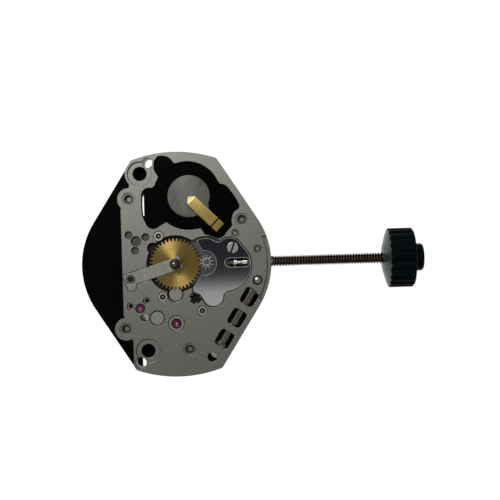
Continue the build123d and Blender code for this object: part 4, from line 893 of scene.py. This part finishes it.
@dataclass
class MotionWorks:
    """The hour wheel with its clip, the post of the minute hand and the wheel between them."""

    edge: float = 0.012
    pipe_foot: float = -0.12
    rivet: Bush = Bush(
        (-3.616, -1.116), 0.36, -0.16, -0.03, rim=0.05, rim_drop=0.06, cup=0.27, cup_drop=0.03,
        bore=0.22, bore_drop=0.085,
    )
    dome_rise: float = 0.1
    dome_foot: float = 0.05
    dome_steps: int = 6
    brass: Finish = Finish(
        "train_brass", (0.15, 0.105, 0.031), roughness=0.24, grain=Grain.TURNED, marks=9.0,
        depth=0.0006, spread=0.2, anisotropy=0.85,
    )
    post: Finish = Finish(
        "pinion_steel", (0.14, 0.135, 0.125), roughness=0.22, grain=Grain.POLISHED
    )
    clip: Finish = Finish(
        "clip_steel", (0.115, 0.115, 0.098), roughness=0.36, marks=6.0, spread=0.25
    )
    wheel: Finish = Finish("polished_steel", (0.05, 0.05, 0.055), grain=Grain.POLISHED)
    leaves: Finish = Finish(
        "polished_steel", (0.28, 0.285, 0.29), roughness=0.2, grain=Grain.POLISHED
    )
    # a near-black copy of the brass: painted shade on the hour wheel's pipe round the post
    pipe: Finish = Finish("train_brass", (0.03, 0.026, 0.02), grain=Grain.POLISHED)

    def build(self, bench: Bench) -> None:
        """Refines the wheels and the clip.

        Args:
            bench: The workbench.
        """
        wheel = bench.refine("hour_wheel", "hour_wheel", "turned brass", self.brass, self.edge)
        # the pipe gets painted shade
        bench.paint_zone(wheel, "pipe painted shade", self.pipe, lambda c, _: c.z > self.pipe_foot)
        bench.refine("hour_wheel_clip", "movement", "clip steel", self.clip, 2 * self.edge)
        bench.refine("minute_wheel", "minute_wheel", "bright steel", self.wheel, self.edge)
        bench.refine("minute_pinion", "minute_wheel", "leaf steel", self.leaves, 2.5 * self.edge)
        bench.dress("cannon_pinion", "post steel", self.post)
        self.post_dome(bench)
        bench.bushes("clip_rivet", "movement", "clip steel", self.clip, (self.rivet,))

    def post_dome(self, bench: Bench) -> None:
        """Makes the rounded end of the post that carries the minute hand.

        Args:
            bench: The workbench.
        """
        corners = [v.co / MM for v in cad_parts["cannon_pinion"].data.vertices]
        top = max(corner.z for corner in corners)
        radius = max(corner.xy.length for corner in corners if corner.z > top - SLACK / 10)
        foot = top - self.dome_foot
        profile = [(0.0, foot), (radius, foot), (radius, top)]
        for step in range(1, self.dome_steps + 1):
            angle = math.pi / 2 * step / self.dome_steps
            profile.append((radius * math.cos(angle), top + self.dome_rise * math.sin(angle)))
        made = bmesh.new()
        bench.turned(made, profile, (0.0, 0.0))
        bench.piece(made, "post_dome", "minute_arbor", "post steel", self.post)


@dataclass
class KeylessWorks:
    """The polished cover with its screw, and the clutch, lever and yoke below it."""

    edge: float = 0.025
    lip: float = 0.04
    gap: float = 0.04
    screw_place: Place = (4.621, 1.197)
    screw_reach: float = 0.6
    slot_span: tuple[float, float] = (-0.09, -0.02)
    wall_lean: float = 0.6
    spring_step: float = 0.3
    spring_cuts: int = 8
    stem_drop: float = 1.05
    rings: tuple[Bush, ...] = (
        Bush(
            (4.858, 2.350), 0.4, -0.04, 0.012, rim=0.03, rim_drop=0.03, cup=0.3, cup_drop=0.03,
            bore=0.24, through=True,
        ),
        Bush(
            (6.614, 1.044), 0.4, -0.04, 0.012, rim=0.03, rim_drop=0.03, cup=0.3, cup_drop=0.03,
            bore=0.24, through=True,
        ),
    )
    yoke_cap: Bush = Bush(
        (4.858, 2.350), 0.19, -0.12, -0.07, rim_drop=0.03, cup=0.1, cup_drop=0.02, bore=0.07,
        bore_drop=0.04,
    )
    lever_cap: Bush = Bush(
        (6.614, 1.044), 0.19, -0.12, -0.07, rim_drop=0.03, cup=0.1, cup_drop=0.02, bore=0.07,
        bore_drop=0.04,
    )
    # painted shade for the cover's upright walls and the screw's slot
    shade: Finish = Finish(
        "screw_steel", (0.004, 0.004, 0.004), metallic=0.0, roughness=0.4, spread=0.2,
        gloss=0.06,
    )
    cover: Finish = Finish(
        "polished_steel", (0.5, 0.52, 0.51), roughness=0.06, marks=1.5, depth=0.0001,
        spread=0.03,
    )
    screw: Finish = Finish("screw_steel", (0.18, 0.185, 0.185), marks=10.0, spread=0.15)
    steel: Finish = Finish(
        "pinion_steel", (0.5, 0.48, 0.44), roughness=0.18, grain=Grain.POLISHED
    )
    sheet: Finish = Finish("clip_steel", (0.16, 0.16, 0.15), marks=10.0, spread=0.15)

    def spring(self, bench: Bench) -> None:
        """Makes the leaf spring, which runs from the yoke to the wall that its end rests on, as a
        subdivided copy of its CAD node on no body.

        Args:
            bench: The workbench.
        """
        made = bench.copy("yoke_spring")
        long = [edge for edge in made.edges if edge.calc_length() > self.spring_step * MM]
        bmesh.ops.subdivide_edges(made, edges=long, cuts=self.spring_cuts, use_grid_fill=True)
        root = Vector((*self.yoke_cap.centre, -self.stem_drop)) * MM
        end = max((vert.co.copy() for vert in made.verts), key=lambda co: (co.xy - root.xy).length)
        spring = bench.piece(
            made, "yoke_spring_fine", "", "lever steel", self.sheet, ("yoke_spring",)
        )
        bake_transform(spring)

    def by_screw(self, place: Vector) -> bool:
        """Whether a place lies at the edge of the screw's hole."""
        return (place.xy - Vector(self.screw_place)).length < self.screw_reach

    def in_slot(self, centre: Vector, normal: Vector) -> bool:
        """Whether a face lies down in the screw's slot."""
        return self.slot_span[0] < centre.z < self.slot_span[1]

    def on_wall(self, centre: Vector, normal: Vector) -> bool:
        """Whether a face of the cover stands upright."""
        return abs(normal.z) < self.wall_lean

    def build(self, bench: Bench) -> None:
        """Refines the cover and its screw, and dresses what moves below.

        Args:
            bench: The workbench.
        """
        made = bench.copy("keyless_cover")
        bench.draw_in(made, self.gap, self.by_screw)
        bench.ease(made, self.lip, self.by_screw)
        cover = bench.piece(
            made, "keyless_cover_fine", "movement", "cover steel", self.cover, ("keyless_cover",)
        )
        # the cover's upright walls and the screw's slot get painted shade
        bench.paint_zone(cover, "slot shade", self.shade, self.on_wall)
        screw = bench.refine("cover_screw", "movement", "screw steel", self.screw, self.edge / 2)
        bench.paint_zone(screw, "slot shade", self.shade, self.in_slot)
        bench.bushes("pivot_rings", "movement", "plate satin", PlateAssembly.plate, self.rings)
        for cap, body in ((self.yoke_cap, "yoke"), (self.lever_cap, "setting_lever")):
            bench.bushes(f"{body}_cap", body, "lever steel", self.sheet, (cap,))
        bench.refine("sliding_pinion", "clutch", "clutch steel", self.steel, self.edge / 3)
        bench.dress("setting_lever", "lever steel", self.sheet)
        bench.dress("yoke", "lever steel", self.sheet)
        self.spring(bench)


@dataclass
class StemAndCrown:
    """The threaded winding stem and the dark crown at its end."""

    axis_drop: float = 1.05
    thread_start: float = 7.8
    thread_end: float = 16.95
    crest: float = 0.45
    root: float = 0.30
    pitch: float = 0.225
    steps: int = 20
    flat_share: float = 0.12
    rise_share: float = 0.5
    cone_lean: float = -0.5
    edge: float = 0.03
    steel: Finish = Finish(
        "stem_steel", (0.16, 0.125, 0.09), roughness=0.24, marks=8.0, spread=0.2
    )
    # a dark copy of the stem steel without reflection: painted shade on the thread's flanks
    flank: Finish = Finish(
        "stem_steel", (0.004, 0.003, 0.002), metallic=0.0, roughness=0.4, marks=8.0, spread=0.2,
        gloss=0.0,
    )
    dark: Finish = Finish(
        "crown_dark", (0.0004, 0.0021, 0.0023), metallic=0.0, marks=12.0, depth=0.0015,
        gloss=0.02,
    )
    # a lighter, glossier copy of the crown's black: painted highlight on the cone
    cone: Finish = Finish(
        "crown_dark", (0.013, 0.018, 0.016), metallic=0.0, marks=12.0, depth=0.0015, gloss=0.16
    )

    def thread(self, bench: Bench) -> bmesh.types.BMesh:
        """The threaded length: one turn's profile carried along a helix by a spin.

        Args:
            bench: The workbench.

        Returns:
            The thread's mesh.
        """
        made = bmesh.new()
        start = self.thread_start - self.pitch
        profile = [
            (0.0, self.root),
            (self.flat_share, self.root),
            (self.rise_share, self.crest),
            (self.rise_share + self.flat_share, self.crest),
            (1.0, self.root),
        ]
        verts = [
            made.verts.new(((start + share * self.pitch) * MM, 0, (r - self.axis_drop) * MM))
            for share, r in profile
        ]
        edges = [made.edges.new(pair) for pair in zip(verts, verts[1:])]
        turns = math.ceil((self.thread_end - start) / self.pitch) + 1
        bmesh.ops.spin(
            made,
            geom=verts + edges,
            cent=(0, 0, -self.axis_drop * MM),
            axis=(1, 0, 0),
            dvec=(self.pitch * MM / self.steps, 0, 0),
            angle=FULL_TURN * turns,
            steps=self.steps * turns,
            use_merge=False,
            use_duplicate=False,
        )
        bmesh.ops.remove_doubles(made, verts=made.verts, dist=MERGE * 10)
        for x, side in ((self.thread_start, -1), (self.thread_end, 1)):
            bench.cut(made, x, side)
        bmesh.ops.recalc_face_normals(made, faces=made.faces)
        return made

    def on_crest(self, centre: Vector, normal: Vector) -> bool:
        """Whether a face lies on the thread's crest, which keeps the bare steel while the flanks
        get painted shade.
        """
        aside = math.hypot(centre.y, centre.z + self.axis_drop)
        return aside > self.crest - SLACK

    def on_cone(self, centre: Vector, normal: Vector) -> bool:
        """Whether a face lies on the crown's cone, which looks at the movement and gets a painted
        highlight.
        """
        return normal.x < self.cone_lean

    def build(self, bench: Bench) -> None:
        """Makes the stem and refines the crown.

        Args:
            bench: The workbench.
        """
        inner = bench.copy("winding_stem")
        bench.cut(inner, self.thread_start, 1)
        bench.ease(inner, self.edge / 3)
        bench.piece(inner, "stem_shank", "stem", "stem steel", self.steel, ("winding_stem",))
        # the flanks get painted shade, the crests the bare steel
        thread = bench.piece(self.thread(bench), "stem_thread", "stem", "stem painted shade", self.flank)
        bench.paint_zone(thread, "stem steel", self.steel, self.on_crest)
        crown = bench.refine("crown", "stem", "crown dark", self.dark, self.edge)
        # the cone gets a painted highlight
        bench.paint_zone(crown, "crown cone painted highlight", self.cone, self.on_cone)
        bench.refine("crown_hub", "stem", "crown dark", self.dark, self.edge)


@dataclass
class StepMotor:
    """The coil, its core and the rotor in its stator."""

    wire: Finish = Finish(
        "coil_wire", (0.085, 0.072, 0.055), roughness=0.14, depth=0.0008, spread=0.25
    )
    alloy: Finish = Finish(
        "stator_alloy", (0.4, 0.38, 0.36), roughness=0.35, marks=12.0, spread=0.08
    )
    flange: Finish = Finish(
        "black_plastic", (0.01, 0.01, 0.011), metallic=0.0, grain=Grain.MOULDED, marks=3.0,
        depth=0.002,
    )
    magnet: Finish = Finish("magnet_grey", (0.08, 0.08, 0.085), roughness=0.4, marks=16.0)
    steel: Finish = Finish(
        "pinion_steel", (0.5, 0.48, 0.44), roughness=0.2, grain=Grain.POLISHED
    )

    def build(self, bench: Bench) -> None:
        """Dresses the motor's parts.

        Args:
            bench: The workbench.
        """
        bench.dress("coil_winding", "coil wire", self.wire)
        bench.dress("coil_flanges", "flange plastic", self.flange)
        bench.dress("coil_core", "core alloy", self.alloy)
        bench.dress("stator", "core alloy", self.alloy)
        bench.dress("rotor_magnet", "magnet", self.magnet)
        bench.dress("rotor_pinion", "arbor steel", self.steel)


@dataclass
class GoingTrain:
    """The wheels between the rotor and the centre."""

    brass: Finish = Finish(
        "train_brass", (0.66, 0.46, 0.16), roughness=0.28, marks=12.0, spread=0.08
    )
    steel: Finish = Finish(
        "pinion_steel", (0.5, 0.48, 0.44), roughness=0.2, grain=Grain.POLISHED
    )
    wheels: tuple[str, ...] = ("centre_wheel", "third_wheel", "intermediate_wheel", "step_wheel")
    pinions: tuple[str, ...] = ("third_pinion", "intermediate_pinion", "step_pinion")

    def build(self, bench: Bench) -> None:
        """Dresses the train.

        Args:
            bench: The workbench.
        """
        for wheel in self.wheels:
            bench.dress(wheel, "wheel brass", self.brass)
        for pinion in self.pinions:
            bench.dress(pinion, "arbor steel", self.steel)


@dataclass
class BackWorks:
    """The bridge, the circuit and the steel cover at the back."""

    edge: float = 0.02
    bridge: Finish = Finish(
        "plate_nickel", (0.34, 0.34, 0.31), roughness=0.36, depth=0.0015, spread=0.08
    )
    board: Finish = Finish(
        "board_resin", (0.30, 0.17, 0.04), metallic=0.0, roughness=0.4, grain=Grain.MOULDED,
        marks=4.0, spread=0.08,
    )
    chip: Finish = Finish(
        "black_plastic", (0.01, 0.01, 0.011), metallic=0.0, roughness=0.5, grain=Grain.MOULDED,
        marks=6.0,
    )
    can: Finish = Finish("cell_steel", (0.5, 0.5, 0.48), roughness=0.2, grain=Grain.POLISHED)
    sheet: Finish = Finish(
        "clip_steel", (0.48, 0.48, 0.45), roughness=0.28, grain=Grain.BRUSHED, marks=8.0,
        spread=0.08,
    )
    # the screws' steel, darkened as painted shade for the pillar screws' ends down in the plate's
    # holes; the bridge screws share it
    screw: Finish = Finish("screw_steel", (0.10, 0.10, 0.097), grain=Grain.POLISHED)

    def build(self, bench: Bench) -> None:
        """Refines what shows at the back and dresses the rest.

        Args:
            bench: The workbench.
        """
        bench.refine("circuit_cover", "movement", "back steel", self.sheet, self.edge)
        bench.refine("pillar_screws", "movement", "back screws painted shade", self.screw, self.edge)
        bench.dress("bridge_screws", "back screws painted shade", self.screw)
        bench.dress("train_bridge", "bridge nickel", self.bridge)
        bench.dress("circuit_board", "board resin", self.board)
        bench.dress("integrated_circuit", "chip resin", self.chip)
        bench.dress("quartz_crystal", "crystal can", self.can)


@dataclass
class Studio:
    """The pale floor, the soft lights and the camera that looks straight down."""

    look_at: Place = (6.007, 0.958)
    height: float = 80.0
    frame_width: float = 40.0
    sensor: float = 36.0
    up: tuple[float, float, float] = (0.02967, 0.99956, 0.0)
    floor_drop: float = 3.46
    floor_size: float = 900.0
    floor_glow: float = 1.0
    floor_shade: float = 0.06
    floor_rough: float = 0.9
    room_white: Colour = (1.0, 1.0, 1.0)
    room_dark: Colour = (0.020, 0.022, 0.028)
    room_strength: float = 1.0
    lamp_inner: tuple[float, float] = (0.06, 0.22)
    lamp_outer: tuple[float, float] = (0.7, 1.5)
    card_near: tuple[float, float] = (0.026, 0.042)
    card_share: float = 0.58
    horizon: tuple[float, float] = (0.2, 0.4)
    key_place: tuple[float, float, float] = (-28.0, 58.0, 120.0)
    key_size: float = 40.0
    key_power: float = 0.2
    clip_end: float = 10000.0

    def build(self) -> None:
        """Sets the floor, the lights and the camera."""
        self.floor()
        self.room()
        self.key()
        self.camera()
        bpy.context.scene.view_settings.view_transform = "Standard"

    def floor(self) -> None:
        """A wide pale floor under the crown."""
        made = bmesh.new()
        place = Matrix.Translation(Vector((*self.look_at, -self.floor_drop)) * MM)
        bmesh.ops.create_grid(
            made, x_segments=1, y_segments=1, size=self.floor_size * MM / 2, matrix=place
        )
        self.stage(made, "floor", self.pale())

    def pale(self) -> bpy.types.Material:
        """The floor's plain white glow, like a light table's, which is clear from below.

        Returns:
            The floor's material.
        """
        made = bpy.data.materials.new("floor white")
        made.use_nodes = True
        nodes, links = made.node_tree.nodes, made.node_tree.links
        shader = nodes["Principled BSDF"]
        shader.inputs["Base Color"].default_value = (*3 * (self.floor_shade,), 1)
        shader.inputs["Roughness"].default_value = self.floor_rough
        shader.inputs["Specular IOR Level"].default_value = 0.0
        shader.inputs["Emission Color"].default_value = (1, 1, 1, 1)
        shader.inputs["Emission Strength"].default_value = self.floor_glow
        side = nodes.new("ShaderNodeNewGeometry")
        clear = nodes.new("ShaderNodeBsdfTransparent")
        blend = nodes.new("ShaderNodeMixShader")
        links.new(side.outputs["Backfacing"], blend.inputs["Fac"])
        links.new(shader.outputs["BSDF"], blend.inputs[1])
        links.new(clear.outputs["BSDF"], blend.inputs[2])
        links.new(blend.outputs["Shader"], nodes["Material Output"].inputs["Surface"])
        return made

    def stage(self, made: bmesh.types.BMesh, name: str, material: bpy.types.Material) -> None:
        """Turns a mesh into a piece of the stage.

        Args:
            made: The mesh, which is freed.
            name: The object's name.
            material: Its material.
        """
        mesh = bpy.data.meshes.new(name)
        made.to_mesh(mesh)
        made.free()
        mesh.materials.append(material)
        staged = bpy.data.objects.new(name, mesh)
        bpy.context.scene.collection.objects.link(staged)

    def room(self) -> None:
        """A wide round lamp with a dark middle where the camera stands, and a card before it."""
        world = bpy.data.worlds.new("white room")
        bpy.context.scene.world = world
        world.use_nodes = True
        nodes, links = world.node_tree.nodes, world.node_tree.links
        back = nodes["Background"]
        back.inputs["Strength"].default_value = self.room_strength
        place = nodes.new("ShaderNodeTexCoord")
        split = nodes.new("ShaderNodeSeparateXYZ")
        links.new(place.outputs["Generated"], split.inputs["Vector"])
        aside = self.sum(nodes, links, "DIVIDE", split.outputs["X"], split.outputs["Z"])
        along = self.sum(nodes, links, "DIVIDE", split.outputs["Y"], split.outputs["Z"])
        forward = self.sum(nodes, links, "MULTIPLY", along, -1.0)
        card = self.fade(nodes, links, forward, self.card_near, 0, self.card_share)
        square = self.sum(nodes, links, "MULTIPLY", aside, aside)
        other = self.sum(nodes, links, "MULTIPLY", along, along)
        slope = self.sum(nodes, links, "SQRT", self.sum(nodes, links, "ADD", square, other))
        lamp = self.fade(nodes, links, slope, self.lamp_inner, 0, 1)
        lit = self.sum(nodes, links, "MAXIMUM", lamp, card)
        for step in (
            self.fade(nodes, links, slope, self.lamp_outer, 1, 0),
            self.fade(nodes, links, split.outputs["Z"], self.horizon, 0, 1),
        ):
            lit = self.sum(nodes, links, "MULTIPLY", lit, step)
        seen = nodes.new("ShaderNodeLightPath")
        lit = self.sum(nodes, links, "MAXIMUM", lit, seen.outputs["Is Camera Ray"])
        colours = nodes.new("ShaderNodeValToRGB")
        colours.color_ramp.elements[0].color = (*self.room_dark, 1)
        colours.color_ramp.elements[1].color = (*self.room_white, 1)
        links.new(lit, colours.inputs["Fac"])
        links.new(colours.outputs["Color"], back.inputs["Color"])

    def sum(
        self,
        nodes: bpy.types.Nodes,
        links: bpy.types.NodeLinks,
        operation: str,
        first: bpy.types.NodeSocket,
        second: bpy.types.NodeSocket | float = 0.0,
    ) -> bpy.types.NodeSocket:
        """One step of the room's arithmetic.

        Args:
            nodes: The world's nodes.
            links: The world's links.
            operation: What is done with the two values.
            first: The first value.
            second: The second value, where the operation has one.

        Returns:
            The socket of the result.
        """
        step = nodes.new("ShaderNodeMath")
        step.operation = operation
        links.new(first, step.inputs[0])
        if isinstance(second, float):
            step.inputs[1].default_value = second
        else:
            links.new(second, step.inputs[1])
        return step.outputs["Value"]

    def fade(
        self,
        nodes: bpy.types.Nodes,
        links: bpy.types.NodeLinks,
        value: bpy.types.NodeSocket,
        span: tuple[float, float],
        start: float,
        end: float,
    ) -> bpy.types.NodeSocket:
        """A soft step of a value.

        Args:
            nodes: The world's nodes.
            links: The world's links.
            value: The value that the step follows.
            span: Where the step starts and ends.
            start: The result before the step.
            end: The result after it.

        Returns:
            The socket of the result.
        """
        step = nodes.new("ShaderNodeMapRange")
        step.interpolation_type = "SMOOTHSTEP"
        step.inputs["From Min"].default_value = span[0]
        step.inputs["From Max"].default_value = span[1]
        step.inputs["To Min"].default_value = start
        step.inputs["To Max"].default_value = end
        links.new(value, step.inputs["Value"])
        return step.outputs["Result"]

    def key(self) -> None:
        """One soft light from the upper left."""
        data = bpy.data.lights.new("key", "AREA")
        data.size = self.key_size * MM
        data.energy = self.key_power
        key = bpy.data.objects.new("key", data)
        bpy.context.scene.collection.objects.link(key)
        key.location = Vector(self.key_place) * MM
        key.rotation_euler = (-key.location).to_track_quat("-Z", "Y").to_euler()

    def camera(self) -> None:
        """The camera over the movement, at the photograph's angle."""
        data = bpy.data.cameras.new("camera")
        data.sensor_width = self.sensor
        data.lens = self.sensor * self.height / self.frame_width
        data.clip_start = MM
        data.clip_end = self.clip_end * MM
        camera = bpy.data.objects.new("camera", data)
        bpy.context.scene.collection.objects.link(camera)
        up = Vector(self.up).normalized()
        back = Vector((0, 0, 1))
        right = up.cross(back)
        turned = Matrix((right, up, back)).transposed().to_4x4()
        place = Matrix.Translation(Vector((*self.look_at, self.height)) * MM)
        camera.matrix_world = place @ turned
        bpy.context.scene.camera = camera


def main() -> None:
    """Builds every sub-assembly in order, then the studio round it."""
    logging.basicConfig(level=logging.INFO, format="%(name)s: %(message)s")
    bench = Bench()
    assemblies = [
        PlateAssembly(),
        BatterySeat(),
        MotionWorks(),
        KeylessWorks(),
        StemAndCrown(),
        StepMotor(),
        GoingTrain(),
        BackWorks(),
    ]
    for assembly in assemblies:
        assembly.build(bench)
        log.info("built %s", type(assembly).__name__)
    Studio().build()


if __name__ == "__main__":
    main()
